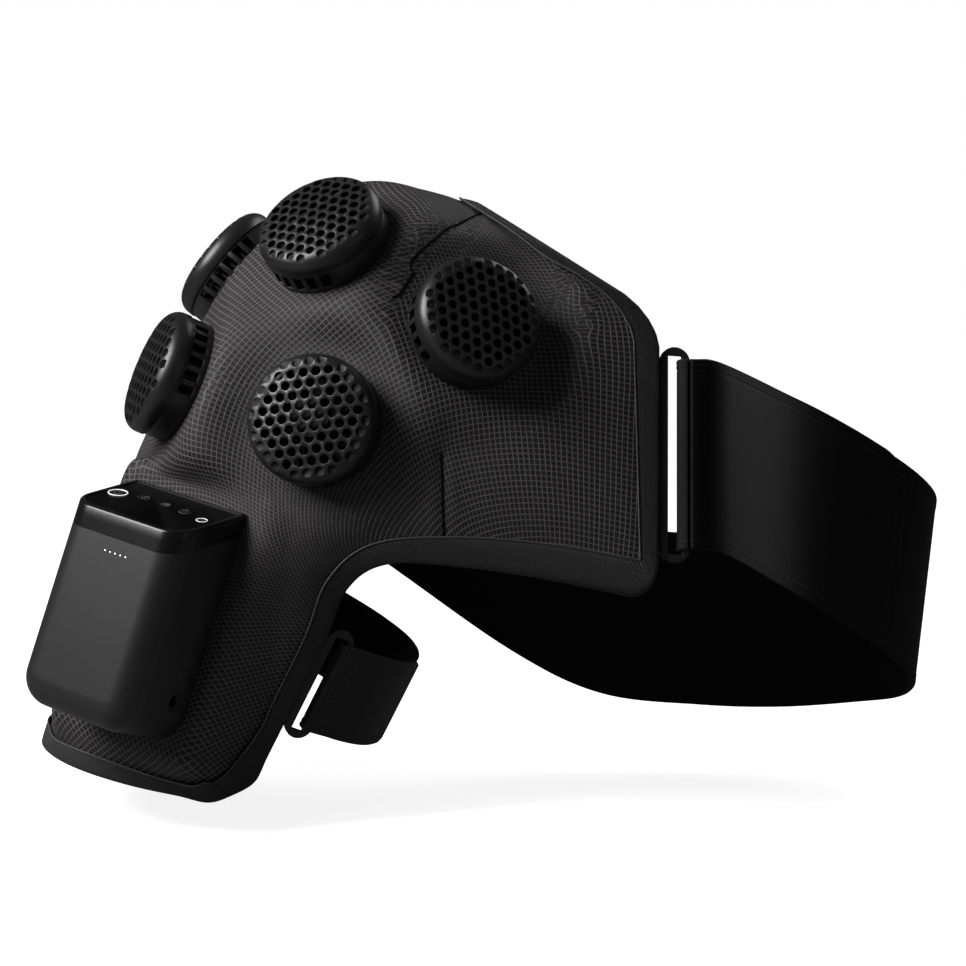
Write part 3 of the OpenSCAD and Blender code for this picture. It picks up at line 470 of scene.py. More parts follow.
def moulded(name, group, low, high, roughness, rough_span=0.06, grain=0.00002, **more):
    """Moulded plastic or metal: soft patches of colour and roughness and a fine grain."""
    mat, tree, shader = material(name, roughness, **more)
    node = group_node(tree, group)
    tree.links.new(colour_mix(tree, node.outputs["Mask"], low, high), shader.inputs["Base Color"])
    rough = math_node(tree, "MULTIPLY_ADD", node.outputs["Mask"], rough_span)
    rough.node.inputs[2].default_value = roughness - rough_span / 2
    tree.links.new(rough, shader.inputs["Roughness"])
    bump(tree, shader, node.outputs["Height"], grain)
    return mat


def lattice_cloth(name, group, ground, line, thread, turn, roughness, height, specular=0.3, sheen=0.0,
    cell=2.6, share=0.15):
    """Woven cloth with raised lattice lines lighter than the ground; on the cover this lightness is partly the
    lines' own thread and partly painted sheen.
    """
    mat, tree, shader = material(name, roughness, specular=specular, sheen=sheen)
    node = group_node(tree, group, Cell_in_mm=cell, Turn=turn, Line_share=share)
    woven = colour_mix(tree, node.outputs["Threads"], ground, thread)
    tree.links.new(colour_mix(tree, node.outputs["Lines"], woven, line), shader.inputs["Base Color"])
    bump(tree, shader, node.outputs["Height"], height)
    return mat


def ribbed_tape(name, group, low, high, pitch, roughness, height, specular=0.3):
    """Tape with ribs across it."""
    mat, tree, shader = material(name, roughness, specular=specular)
    node = group_node(tree, group, Pitch_in_mm=pitch)
    tree.links.new(colour_mix(tree, node.outputs["Ribs"], low, high), shader.inputs["Base Color"])
    bump(tree, shader, node.outputs["Height"], height)
    return mat


def napped_cloth(name, group, low, high, roughness, height, grain, sheen=0.0, specular=0.2):
    """Felted or knitted face: uneven fine nap on Object coordinates."""
    mat, tree, shader = material(name, roughness, specular=specular, sheen=sheen)
    node = group_node(tree, group, Grain_per_metre=grain, Patches_per_metre=900.0)
    tree.links.new(colour_mix(tree, node.outputs["Mask"], low, high), shader.inputs["Base Color"])
    bump(tree, shader, node.outputs["Height"], height)
    return mat


def lamp_lens(name, group, strength):
    """Milky lens that glows a little."""
    mat, tree, shader = material(name, 0.3)
    node = group_node(tree, group)
    tree.links.new(colour_mix(tree, node.outputs["Mask"], grey(0.8), grey(0.95)), shader.inputs["Base Color"])
    shader.inputs["Emission Color"].default_value = (1, 1, 1, 1)
    shader.inputs["Emission Strength"].default_value = strength
    return mat


MAT = {}


def make_materials(look):
    """Every finish of the wrap, built once and kept by name in MAT."""
    grain, lattice, ribs = grain_group(), lattice_group(), ribs_group()
    ground = tuple(look.fabric) + (1.0,)
    # Lattice lines are line_gain times lighter than the ground: partly their own thread colour, partly a painted
    # sheen on the raised lines.
    MAT["cover"] = lattice_cloth("ripstop cover", lattice, ground,
        tuple(c * look.line_gain for c in look.fabric) + (1.0,),
        tuple(c * 1.5 for c in look.fabric) + (1.0,), -0.1, 0.5, 0.00022, specular=0.28, cell=look.cell)
    MAT["lining"] = lattice_cloth("smooth lining", lattice, grey(0.045), grey(0.06), grey(0.055), 0.0, 0.8,
        0.00004, cell=1.4, share=0.3)
    MAT["tape"] = ribbed_tape("ribbed edge tape", ribs, grey(0.008, 0.04), grey(0.055, 0.04), 1.0, 0.5, 0.00035)
    MAT["piping"] = ribbed_tape("edge piping", ribs, grey(0.04), grey(0.11), 0.8, 0.45, 0.0001)
    MAT["thread"] = ribbed_tape("sewing thread", ribs, grey(0.03), grey(0.05), 0.5, 0.55, 0.00005)
    # Near-black finish of the dart lines: the seam and the painted shadow in the dart's fold.
    MAT["seam"] = ribbed_tape("seam shadow", ribs, grey(0.0015), grey(0.003), 0.9, 0.9, 0.00003, specular=0.1)
    MAT["strap"] = napped_cloth("chest strap face", grain, grey(0.0035), grey(0.008), 0.72, 0.00005, 1400.0)
    MAT["strap_trim"] = ribbed_tape("strap hem", ribs, grey(0.004), grey(0.014), 0.9, 0.6, 0.0001)
    # Inner face of the straps, lighter than the outer face: partly a lighter loop fabric, partly a painted
    # highlight where light grazes it.
    MAT["loop_face_and_highlight"] = napped_cloth("strap loop face and painted highlight", grain, grey(0.008, 0.05), grey(0.016, 0.05), 0.8,
        0.00008, 1600.0, sheen=0.1)
    MAT["felt"] = napped_cloth("arm flap felt", grain, grey(0.012), grey(0.036), 0.95, 0.0002, 1800.0,
        sheen=0.2)
    MAT["module"] = moulded("module shell", grain, grey(0.010, 0.06), grey(0.014, 0.06), 0.36, specular=0.5)
    MAT["pack"] = moulded("pack shell", grain, grey(0.016, 0.05), grey(0.018, 0.05), 0.40, 0.04, specular=0.45)
    MAT["gloss"] = moulded("glossy trim", grain, grey(0.004), grey(0.006), 0.24, 0.03, 0.000004, specular=0.4,
        coat=0.1)
    MAT["glass"] = moulded("key panel glass", grain, grey(0.001), grey(0.0015), 0.2, 0.03, 0.000003,
        specular=0.06)
    MAT["ring"] = moulded("ring plastic", grain, grey(0.010), grey(0.016), 0.42, specular=0.4)
    # The fans behind the grilles are dark plastic, darkened further as painted shade inside the module caps.
    MAT["fan"] = moulded("fan plastic", grain, grey(0.005), grey(0.009), 0.5, specular=0.3)
    MAT["aluminium"] = moulded("anodised aluminium", grain, grey(0.45), grey(0.60), 0.38, metallic=1.0)
    # The heat sinks are darkened as painted shade inside the module caps, in place of their bare aluminium.
    MAT["heat_sink_shade"] = moulded("heat sink metal darkened as painted shade", grain, grey(0.006), grey(0.01), 0.55, metallic=0.2)
    MAT["steel"] = moulded("screw steel", grain, grey(0.40), grey(0.55), 0.32, metallic=1.0)
    MAT["ceramic"] = moulded("ceramic tile", grain, grey(0.65), grey(0.8), 0.6)
    MAT["inner"] = moulded("inner moulding", grain, grey(0.05), grey(0.07), 0.55)
    MAT["sleeve"] = moulded("cell sleeve", grain, (0.04, 0.16, 0.36, 1), (0.05, 0.2, 0.42, 1), 0.35)
    MAT["board"] = moulded("circuit board", grain, (0.012, 0.08, 0.035, 1), (0.02, 0.12, 0.05, 1), 0.4)
    MAT["icon"] = lamp_lens("key mark", grain, look.icon_glow)
    MAT["dim_icon"] = moulded("faint key mark", grain, grey(0.10), grey(0.13), 0.4)
    MAT["light"] = lamp_lens("level light", grain, look.light_glow)


SLOT_FINISH = {
    "module_plastic": "module", "fan_plastic": "fan", "bare_aluminium": "aluminium", "tile_ceramic": "ceramic",
    "screw_steel": "steel", "pack_plastic": "pack", "inner_plastic": "inner", "gloss_black": "gloss",
    "switch_metal": "steel", "light_lens": "light", "cell_sleeve": "sleeve", "board_green": "board",
    "socket_plastic": "ring", "ring_plastic": "ring", "strap_fabric": "strap", "wrap_fabric": "cover",
    "lining_fabric": "lining", "binding_tape": "tape"}
# Heat sinks take the darkened metal: painted shade inside the caps.
NODE_FINISH = {"heat_sink_%d" % k: "heat_sink_shade" for k in range(1, 6)}
NODE_FINISH.update({"key_%d" % k: "glass" for k in range(1, 6)})
NODE_FINISH.update({"key_panel": "glass", "level_lights": "gloss"})


# ---------- the wrap ----------
# Sewn darts, as places (u, t) on the cover: one from the neck edge, one up from the lower edge
DARTS = [
    [(1.0, -0.095), (0.9612, -0.185), (0.9125, -0.2625), (0.8775, -0.305), (0.8513, -0.3375), (0.829, -0.363),
        (0.809, -0.385), (0.786, -0.4115), (0.763, -0.44), (0.7355, -0.469)],
    [(0.7325, -0.7725), (0.7225, -0.825), (0.7075, -0.8825), (0.6875, -0.96)],
    [(1.0, 0.12), (0.9225, 0.2375), (0.8325, 0.36), (0.735, 0.47)],
    [(0.7325, 0.7725), (0.7075, 0.8825), (0.6875, 0.96)]]


def line_distance(p, line):
    """Smallest distance from every point to the segments of a polyline."""
    best = np.full(p.shape[:-1], 1e9)
    for a, b in zip(line[:-1], line[1:]):
        ab = b - a
        f = np.clip(((p - a) @ ab) / (ab @ ab), 0, 1)
        best = np.minimum(best, np.linalg.norm(p - a - f[..., None] * ab, axis=-1))
    return best


def dart_lines():
    """Each dart as points on the fabric, 24 along its spline."""
    lines = []
    for dart in DARTS:
        q = spline(np.array(dart), np.linspace(0, 1, 24))
        lines.append(fabric(q[:, 0], q[:, 1]))
    return lines


def hard_mask(p):
    """0 under the modules and the pack, rising to 1 about 12 mm outside them."""
    mask = np.ones(p.shape[:-1])
    for c, n in zip(SEAT_C, SEAT_N):
        h = (p - c) @ n
        rho = np.linalg.norm(p - c - h[..., None] * n, axis=-1)
        mask = mask * np.where(abs(h) > 40, 1, smooth((rho - MODULE_R - 1) / 12))
    q = p - PACK_C
    away = np.maximum(abs(q @ PACK_SIDE) - PACK_W / 2, abs(q @ PACK_UP) - PACK_H / 2)
    return mask * np.where(abs(q @ PACK_OUT) > 40, 1, smooth(away / 12))


def cover_relief(u, t, p, look):
    """Height added to the cover, in mm: soft folds (sums of slow sines), dart grooves with puffed lips, and a
    dip at the tape."""
    folds = (np.sin(7.1 * u + 9.3 * t + 0.6) * np.sin(11.7 * t - 5.2 * u) + 0.6 * np.sin(17.0 * u - 6.0 * t + 2.0)
             * np.sin(8.0 * t + 1.3) + 0.35 * np.sin(31 * u + 12 * t) * np.sin(19 * t - 9 * u + 0.8))
    relief = look.fold_height * folds
    for line in dart_lines():
        d = line_distance(p, line)
        relief = relief - 0.7 * np.exp(-(d / 2.0) ** 2) + 0.4 * np.exp(-((d - 5.0) / 3.0) ** 2)
    to_edge = np.minimum(np.minimum(u, 1 - u) * 400, (1 - np.abs(t)) * 150)
    relief = relief - 0.5 * (1 - smooth((to_edge - look.tape_width + 1) / 9))
    return relief * hard_mask(p)


def cloth_uv(points, u):
    """Cloth coordinates in mm of a strip that bends in its plane from the sleeve to the chest.

    a is the length along the ridge, b the length across from it, and the grain turns from 46 degrees on the sleeve to 0 on
    the chest: uv = integral of (cos, sin) da + (|b| - 50)(-sin, cos)."""
    middle = points.shape[1] // 2
    along = arc_lengths(points, 0)[:, middle]
    across = arc_lengths(points, 1)
    b = np.abs(across - across[:, middle:middle + 1]) - 50
    turn = 0.8 * (1 - smooth((u[:, middle] - 0.2) / 0.55))
    step = np.diff(along, prepend=along[0])
    base = np.cumsum(np.stack([np.cos(turn), np.sin(turn)], -1) * step[:, None], 0)
    side = np.stack([-np.sin(turn), np.cos(turn)], -1)
    return base[:, None] + b[..., None] * side[:, None]


def relaxed_uv(uv, p, rounds=260):
    """Cloth coordinates eased until neighbours lie as far apart as on the surface; the ridge column stays
    where it is.

    Every grid edge and diagonal is a spring of its true length, moved by Jacobi steps on each half of the wrap."""
    middle = p.shape[1] // 2
    out = uv.copy()
    for half in (slice(0, middle + 1), slice(middle, None)):
        q, x = p[:, half], out[:, half].copy()
        held = x[:, -1].copy() if half.start == 0 else x[:, 0].copy()
        whole, low, high = slice(None), slice(None, -1), slice(1, None)
        pairs = [((low, whole), (high, whole)), ((whole, low), (whole, high)), ((low, low), (high, high)),
            ((low, high), (high, low))]
        true = [np.linalg.norm(q[b] - q[a], axis=-1) for a, b in pairs]
        for _ in range(rounds):
            push = np.zeros_like(x)
            for (a, b), length in zip(pairs, true):
                d = x[b] - x[a]
                size = np.maximum(np.linalg.norm(d, axis=-1), 1e-6)
                d = d * (0.5 * (1 - length / size))[..., None]
                push[a] += d
                push[b] -= d
            x += 0.3 * push
            x[:, -1 if half.start == 0 else 0] = held
        out[:, half] = x
    return out


def wrap_layer(rows, cols, low, high, relief):
    """Closed slab between two offsets of the fabric, open where the module necks pass through it."""
    u, t = np.meshgrid(np.linspace(0, 1, rows), np.linspace(-1, 1, cols), indexing="ij")
    u, t = outline(u, t)
    p, n = fabric(u, t), fabric_normal(u, t)
    top = p + (high + relief(u, t, p))[..., None] * n
    points = np.concatenate([top.reshape(-1, 3), (p + low * n).reshape(-1, 3)])
    faces = slab_faces(rows, cols)
    middle = points[faces].mean(1)
    keep = np.ones(len(faces), bool)
    for c, d in zip(SEAT_C, SEAT_N):
        h = (middle - c) @ d
        keep &= ~((np.linalg.norm(middle - c - h[:, None] * d, axis=-1) < NECK_R) & (abs(h) < 20))
    uv = relaxed_uv(cloth_uv(p, u), p).reshape(-1, 2)
    return points, faces[keep], np.concatenate([uv, uv])


def build_cover(look):
    """Ripstop cover of the wrap with folds and darts."""
    points, faces, uv = wrap_layer(197, 241, 0.0, SHELL_T, lambda u, t, p: cover_relief(u, t, p, look))
    obj = make_mesh("wrap_cover", points, faces, MAT["cover"], uv=uv)
    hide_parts("wrap_shell")


def build_dart_shade_lines(look):
    """Dark line of each dart, its seam and the painted shadow in its fold: a thin closed tube that lies on the
    fabric along the dart, half sunk in it.
    """
    points, faces, start = [], [], 0
    for dart in DARTS:
        q = spline(np.array(dart), np.linspace(0, 1, 90))
        p = fabric(q[:, 0], q[:, 1])
        height = SHELL_T + cover_relief(q[:, 0], q[:, 1], p, look) + 0.35
        v, f = tube(p + height[:, None] * fabric_normal(q[:, 0], q[:, 1]), 0.5, 6)
        cap = np.array([[0, 1, 2, 3], [3, 4, 5, 0]])
        points.append(v.reshape(-1, 3))
        faces += [f + start, cap + start, cap[:, ::-1] + start + len(points[-1]) - 6]
        start += len(points[-1])
    make_mesh("dart_seam_shadows", np.concatenate(points), np.concatenate(faces), MAT["seam"], uv=np.zeros((start, 2)))


def build_lining():
    """Smooth lining on the inside of the wrap."""
    points, faces, uv = wrap_layer(111, 141, -LINING_GAP - LINING_T, -LINING_GAP, lambda u, t, p: 0 * u)
    obj = make_mesh("inner_lining", points, faces, MAT["lining"], uv=uv)
    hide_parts("wrap_lining")


# ---------- edge tape ----------
SOFT_GAP = 0.4
TAPE_T = 0.8


def edge_walk(inset_u, inset_t, n_u, n_t):
    """Places (u, t) round a rectangle inset from the wrap's edges, with evenly spread steps on each side."""
    def side(a, b, n):
        return np.linspace(a, b, n, endpoint=False)
    lo, hi, left, right = inset_u, 1 - inset_u, -1 + inset_t, 1 - inset_t
    u = np.concatenate([np.full(n_t, lo), side(lo, hi, n_u), np.full(n_t, hi), side(hi, lo, n_u)])
    t = np.concatenate([side(left, right, n_t), np.full(n_u, right), side(right, left, n_t),
        np.full(n_u, left)])
    return outline(u, t)


def tape_frame(width, n_u=260, n_t=260):
    """Edge points, their normals and outward directions, and the points and normals one tape width inwards."""
    bu, bt = edge_walk(0, 0, n_u, n_t)
    cu, ct = edge_walk(width / 400, width / 170, n_u, n_t)
    b, nb, c, nc = fabric(bu, bt), fabric_normal(bu, bt), fabric(cu, ct), fabric_normal(cu, ct)
    d = b - c
    out = unit(d - (d * nb).sum(-1, keepdims=True) * nb)
    return b, nb, out, c, nc


def build_tape(look):
    """Folded tape: flat leg, half-round turn over the edge, flat leg, then back along the inside at its
    thickness."""
    b, nb, out, c, nc = tape_frame(look.tape_width)
    over, under = SHELL_T + SOFT_GAP, LINING_GAP + LINING_T + SOFT_GAP + 0.2
    mid, half = (over - under) / 2, (over + under) / 2
    f = np.linspace(0, 1, 7)[:-1]
    turn = np.linspace(np.pi / 2, -np.pi / 2, 9)
    rows = []
    for thick in (TAPE_T, 0.0):
        leg = [mix(c + (over + thick) * nc, b + (over + thick) * nb,
            k) + 0.25 * np.sin(np.pi * k) * nb * (thick > 0) for k in f]
        cap = [b + (mid + (half + thick) * np.sin(a)) * nb + (SOFT_GAP + thick) * np.cos(a) * out for a in turn]
        back = [mix(b - (under + thick) * nb, c - (under + thick) * nc, k) for k in 1 - f[::-1]]
        rows.append(leg + cap + back)
    points = np.stack(rows[0] + rows[1][::-1], 1)
    faces = grid_faces(points.shape[0], points.shape[1], True, True)[:, ::-1]
    run = arc_lengths(np.concatenate([points[:, 4], points[:1, 4]])[:, None], 0)[:-1, 0]
    across = arc_lengths(points, 1)
    uv = np.stack([np.repeat(run[:, None], points.shape[1], 1), across], -1)
    obj = make_mesh("edge_tape", points, faces, MAT["tape"], uv=uv)
    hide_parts("edge_binding")
    seam = [mix(c, b, k) + (over + TAPE_T + 0.1) * nc for k in (-0.03, 0.26)]
    tube_points, tube_faces = tube(seam[0], 0.42, 8, True)
    run = arc_lengths(np.concatenate([seam[0], seam[0][:1]])[:, None], 0)[:-1, 0]
    uv = np.stack([np.repeat(run[:, None], 8, 1), np.tile(np.arange(8) * 0.3, (len(run), 1))], -1)
    make_mesh("tape_piping", tube_points, tube_faces, MAT["piping"], uv=uv)
    build_stitches("tape_stitches", seam[1], nc, 2.7, 1.7, 0.26)


def build_stitches(name, path, normals, pitch, length, radius, body="wrap", closed=True):
    """Row of stitches: each is an ellipsoid of length x 2 radius x 2 radius laid along the path."""
    if closed:
        path, normals = np.concatenate([path, path[:1]]), np.concatenate([normals, normals[:1]])
    run = arc_lengths(path[:, None], 0)[:, 0]
    count = max(2, int(run[-1] / pitch))
    s = (np.arange(count) + 0.5) * run[-1] / count
    place = np.stack([np.interp(s, run, path[:, k]) for k in range(3)], -1)
    ahead = np.stack([np.interp(s + 0.5, run, path[:, k]) for k in range(3)], -1)
    along = unit(ahead - place + 1e-9)
    up = unit(np.stack([np.interp(s, run, normals[:, k]) for k in range(3)], -1))
    side = unit(np.cross(up, along))
    a, b = np.meshgrid(np.linspace(0, np.pi, 5), np.arange(6) * np.pi / 3, indexing="ij")
    x, y, z = np.cos(a) * length / 2, np.sin(a) * np.cos(b) * radius, np.sin(a) * np.sin(b) * radius
    points = (place[:, None, None] + x[None, ..., None] * along[:, None, None] + y[None, ..., None] * side[:,
        None, None]
              + z[None, ..., None] * up[:, None, None])
    one = grid_faces(5, 6, False, True)
    faces = (one[None] + (np.arange(count) * 30)[:, None, None]).reshape(-1, 4)
    uv = np.zeros((count * 30, 2))
    make_mesh(name, points, faces, MAT["thread"], body=body, uv=uv)


# ---------- straps ----------
RING_T, RING_BAR = 3.0, 4.0
FOLD_IN = float(np.hypot(RING_BAR / 2, RING_T / 2)) + 0.15
STRAP_T = 1.6
STRAP_Y = FOLD_IN + STRAP_T / 2
RING_START = SOFT_GAP + TAPE_T + 0.3
LOW_NECK, LOW_LOBE = NECK_CORNER * (1, -1, 1), LOBE_CORNER * (1, -1, 1)


class Strap:
    """A strap round the bar of its ring: origin c, axes across the ring, inwards and along the bar, and path
    rows of place and width direction."""
    def __init__(self, c, n, up, slot, width, share):
        inwards = -unit(n - (n @ up) * up)
        self.axes = np.array([np.cross(up, -inwards), inwards, up])
        self.c, self.width, self.share = c, width, share
        self.bar_x = RING_START + 1.5 * RING_BAR + slot

    def place(self, x, y, z):
        """Point of the ring's own frame."""
        x, y, z = np.broadcast_arrays(x, y, z)
        return self.c + np.stack([x, y, z], -1) @ self.axes

    def middle(self, s, w):
        """Point at share s of the path and w across, 0 to 1."""
        q = spline(self.path, s)
        return q[..., :3] + ((w - 0.5) * self.width)[..., None] * unit(q[..., 3:])

    def outward(self, s):
        """Cross product of the path's direction and its width direction."""
        d = 0.004
        along = spline(self.path, np.clip(s + d, 0, 1)) - spline(self.path, np.clip(s - d, 0, 1))
        return unit(np.cross(along[..., :3], spline(self.path, s)[..., 3:]))

    def flap(self, s, w):
        """The folded end over the strap: lifted from the front of the bar down to the strap over the first 9%
        of the path, round corners."""
        end = self.share * 0.12
        a, b = (s - self.share + end) / end, (np.abs(w - 0.5) - 0.38) / 0.12
        k, corner = round_corner(a, b), (a > 0) & (b > 0)
        s2 = np.where(corner, self.share - end + a * k * end, s)
        w2 = np.where(corner, 0.5 + np.where(w < 0.5, -1, 1) * (0.38 + b * k * 0.12), w)
        lift = STRAP_T + SOFT_GAP + (2 * FOLD_IN - SOFT_GAP) * (1 - smooth(s2 / 0.09))
        return self.middle(s2, w2) + lift[..., None] * self.outward(s2), self.outward(s2)


def chest_strap():
    """The chest strap on the upright edge of the chest lobe."""
    up = unit(at(fabric, 1, -0.6) - at(fabric, 1, -0.9))
    strap = Strap((LOW_NECK + LOW_LOBE) / 2 + 2 * up, at(fabric_normal, 1, -0.76), up, 7.0, 93.0, 0.30)
    rows = [np.append(strap.place(strap.bar_x, STRAP_Y, 0.0), up),
        np.append(strap.place(strap.bar_x + 20, STRAP_Y - 0.6, 0.0), up)]
    strap.path = np.array(rows + [
        [227, -69, -43, 0.02, 0.20, 0.98], [260, -55, -63, 0.06, 0.12, 0.98], [286, -30, -82, 0.10, 0.04, 0.99],
        [298, 0, -96, 0.10, 0.00, 0.99], [296, 34, -109, 0.08, -0.02, 0.99], [276, 63, -117, 0.05, -0.04, 0.99],
        [236, 82, -123, 0.00, -0.05, 0.99], [193, 90, -123, 0.00, -0.03, 0.99],
            [140, 93, -117, 0.00, 0.00, 1.00],
        [92, 93.5, -94, 0.00, 0.00, 1.00], [24, 93.5, -46, 0.00, 0.00, 1.00]])
    return strap


def arm_strap():
    """The arm strap on the front edge of the sleeve."""
    up = unit(at(fabric, 0.275, -1) - at(fabric, 0.155, -1))
    strap = Strap(at(fabric, 0.215, -1), at(fabric_normal, 0.215, -0.99), up, 6.1, 46.0, 0.33)
    across, start = unit(np.cross([0, 1, 0], up)), strap.place(strap.bar_x, STRAP_Y, 0.0)
    route = [(0, 0), (14, 5), (27, 22), (34, 45), (36, 68), (34, 92), (27, 115), (12, 136), (-4, 148),
        (-17, 153), (-33, 155)]
    strap.path = np.array([np.append(start + a * across + [0, b, 0], up) for a, b in route])
    return strap


def hem_columns(width, hem):
    """Places across a strap, 0 to 1, close together in its rounded edges and hems."""
    edge = np.array([0, 0.12, 0.35, 0.7, 1.1, hem * 0.32, hem * 0.42, hem * 0.5, hem * 0.58, hem * 0.7,
        hem * 0.9, hem, hem + 0.5, hem + 1.2])
    inner = np.linspace(hem + 1.2, width - hem - 1.2, 15)[1:-1]
    return np.concatenate([edge, inner, (width - edge)[::-1]]) / width


def hem_section(edge, hem, puff):
    """Half thickness by distance from the edge: quarter round of 0.9 mm, a puffed double hem, a groove on its
    inner line."""
    roll = np.sqrt(np.clip(1 - (1 - np.clip(edge / 0.9, 0, 1)) ** 2, 0.02, 1))
    x = np.clip(edge / hem, 0, 1)
    ridge = puff * np.abs(np.sin(2 * np.pi * x)) ** 0.6 * (x < 1) - 0.22 * np.exp(-((edge - hem) / 0.45) ** 2)
    return (STRAP_T / 2) * roll + ridge * np.clip(edge / 0.9, 0, 1)


def strap_slab(name, middle, normal, half_out, half_in, body, look, inner=None):
    """Closed slab about a middle grid; its lower face may have its own finish."""
    rows, cols = middle.shape[:2]
    points = np.concatenate([(middle + half_out[..., None] * normal).reshape(-1, 3),
                             (middle - half_in[..., None] * normal).reshape(-1, 3)])
    faces = slab_faces(rows, cols)
    if np.mean(np.cross(middle[1:, :-1] - middle[:-1, :-1], middle[:-1, 1:] - middle[:-1, :-1]) * normal[:-1,
        :-1]) < 0:
        faces = faces[:, ::-1]
    run, across = arc_lengths(middle, 0), arc_lengths(middle, 1)
    uv = np.stack([run, across], -1).reshape(-1, 2)
    obj = make_mesh(name, points, faces, MAT[look], body=body, uv=np.concatenate([uv, uv]))
    # The lower face takes the inner finish; on the bands it is the lighter loop face with its painted highlight.
    if inner:
        obj.data.materials.append(MAT[inner])
        index = np.zeros(len(faces), np.int32)
        index[(rows - 1) * (cols - 1):2 * (rows - 1) * (cols - 1)] = 1
        obj.data.polygons.foreach_set("material_index", index)
    length = float(run.max())
    return obj, length


def build_strap(strap, name, hem, puff, look, inner, steps):
    """Half turn round the bar, then the loop along the path, as one band with hemmed edges."""
    ws = hem_columns(strap.width, hem)
    a = np.radians(-90 - 180 * np.arange(20) / 20)[:, None]
    r = FOLD_IN + STRAP_T / 2
    fold = strap.place(strap.bar_x + r * np.cos(a), r * np.sin(a), ((ws - 0.5) * strap.width)[None])
    turn = np.stack([-np.cos(a), -np.sin(a), 0 * a], -1) @ strap.axes
    s, w = np.meshgrid(np.linspace(0, 1, steps) , ws, indexing="ij")
    middle = np.concatenate([fold, strap.middle(s, w)])
    normal = np.concatenate([np.repeat(turn, len(ws), 1), strap.outward(s)])
    edge = np.broadcast_to(np.minimum(ws, 1 - ws) * strap.width, middle.shape[:2])
    half = hem_section(edge, hem, puff)
    obj, length = strap_slab(name, middle, normal, half, half, "wrap", look, inner)
    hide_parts(name.replace("_band", "_strap"))
    return obj


def build_flap(strap, name, hem, puff, look, body, node, steps):
    """The folded end of a strap, hemmed along both sides and its end, with a line of stitches on the hem."""
    ws = hem_columns(strap.width, hem)
    run = np.linspace(0, 1, steps)
    s = mix(0.005, strap.share, 1 - (1 - run) ** 1.35)
    s, w = np.meshgrid(s, ws, indexing="ij")
    middle, normal = strap.flap(s, w)
    length = arc_lengths(middle, 0)[-1, len(ws) // 2]
    to_end = length - arc_lengths(middle, 0)
    edge = np.minimum(np.minimum(w, 1 - w) * strap.width, np.maximum(to_end, 0) + 0.05)
    half = hem_section(edge, hem, puff)
    obj, length = strap_slab(name, middle, normal, half, half, body, look)
    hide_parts(node)
    inset = (hem + 0.9) / strap.width
    side = np.linspace(0.02, strap.share * 0.94, 90)
    across = np.linspace(inset, 1 - inset, 60)
    line_s = np.concatenate([side, np.full(58, strap.share * 0.95), side[::-1]])
    line_w = np.concatenate([np.full(90, inset), across[1:-1], np.full(90, 1 - inset)])
    place, up = strap.flap(line_s, line_w)
    build_stitches(name + "_stitches", place + (STRAP_T / 2 - 0.05) * up, up, 2.6, 1.6, 0.2, body=body,
        closed=False)


# ---------- keys ----------
SLOPE_TILT = float(np.arctan(PACK_SLOPE))
SLOPE_AXES = np.array([PACK_SIDE, -np.cos(SLOPE_TILT) * PACK_OUT + np.sin(SLOPE_TILT) * PACK_UP,
                       np.sin(SLOPE_TILT) * PACK_OUT + np.cos(SLOPE_TILT) * PACK_UP])
SLOPE_ORIGIN = PACK_C + (SHELL_T + 0.3) * PACK_OUT + PACK_H / 2 * PACK_UP
SLOPE_L = PACK_D / np.cos(SLOPE_TILT)
KEY_X = PACK_W / 2 - 2.2 - 0.5 - 0.9 - 5
KEY_SPOTS = [(-KEY_X, -0.48 * SLOPE_L), (-KEY_X / 2, -0.41 * SLOPE_L), (0, -0.40 * SLOPE_L),
    (KEY_X / 2, -0.41 * SLOPE_L), (KEY_X, -0.48 * SLOPE_L)]


def arc(r, start, end, n=32, c=(0, 0)):
    """Arc of radius r about c between two angles in degrees."""
    a = np.radians(np.linspace(start, end, n))
    return np.stack([c[0] + r * np.cos(a), c[1] + r * np.sin(a)], -1)


def key_marks():
    """Plain generic marks as lines in mm on each key: ring with a switch sign, warmth, cold, massage and
    lamp."""
    star = []
    for k in range(3):
        d = np.array([np.cos(np.radians(60 * k + 30)), np.sin(np.radians(60 * k + 30))])
        star.append(np.array([-2.7 * d, 2.7 * d]))
        for sign in (-1, 1):
            tip, side = sign * 1.5 * d, np.array([-d[1], d[0]])
            star.append(np.array([tip + 0.9 * side + sign * 0.6 * d, tip, tip - 0.9 * side + sign * 0.6 * d]))
    waves = [np.stack([x + 0.35 * np.sin(np.linspace(0, 2 * np.pi, 12)), np.linspace(-1.5, 1.5, 12)],
        -1) for x in (-1.2, 0, 1.2)]
    return [
        ("icon", 0.30, [arc(4.6, 0, 360, 49)]), ("dim_icon", 0.18,
            [arc(1.9, 120, 420, 24), np.array([[0.0, 0.6], [0, 2.4]])]),
        ("dim_icon", 0.16, [arc(2.9, -40, 220), arc(1.1, 0, 360, 20)]), ("dim_icon", 0.16, star),
        ("dim_icon", 0.16, [arc(2.9, 100, 380)] + waves), ("icon", 0.20, [arc(2.6, 0, 360, 33)]),
        ("dim_icon", 0.16, [np.array([[-1.0, -0.5], [0, 0.7], [1.0, -0.5]])])]


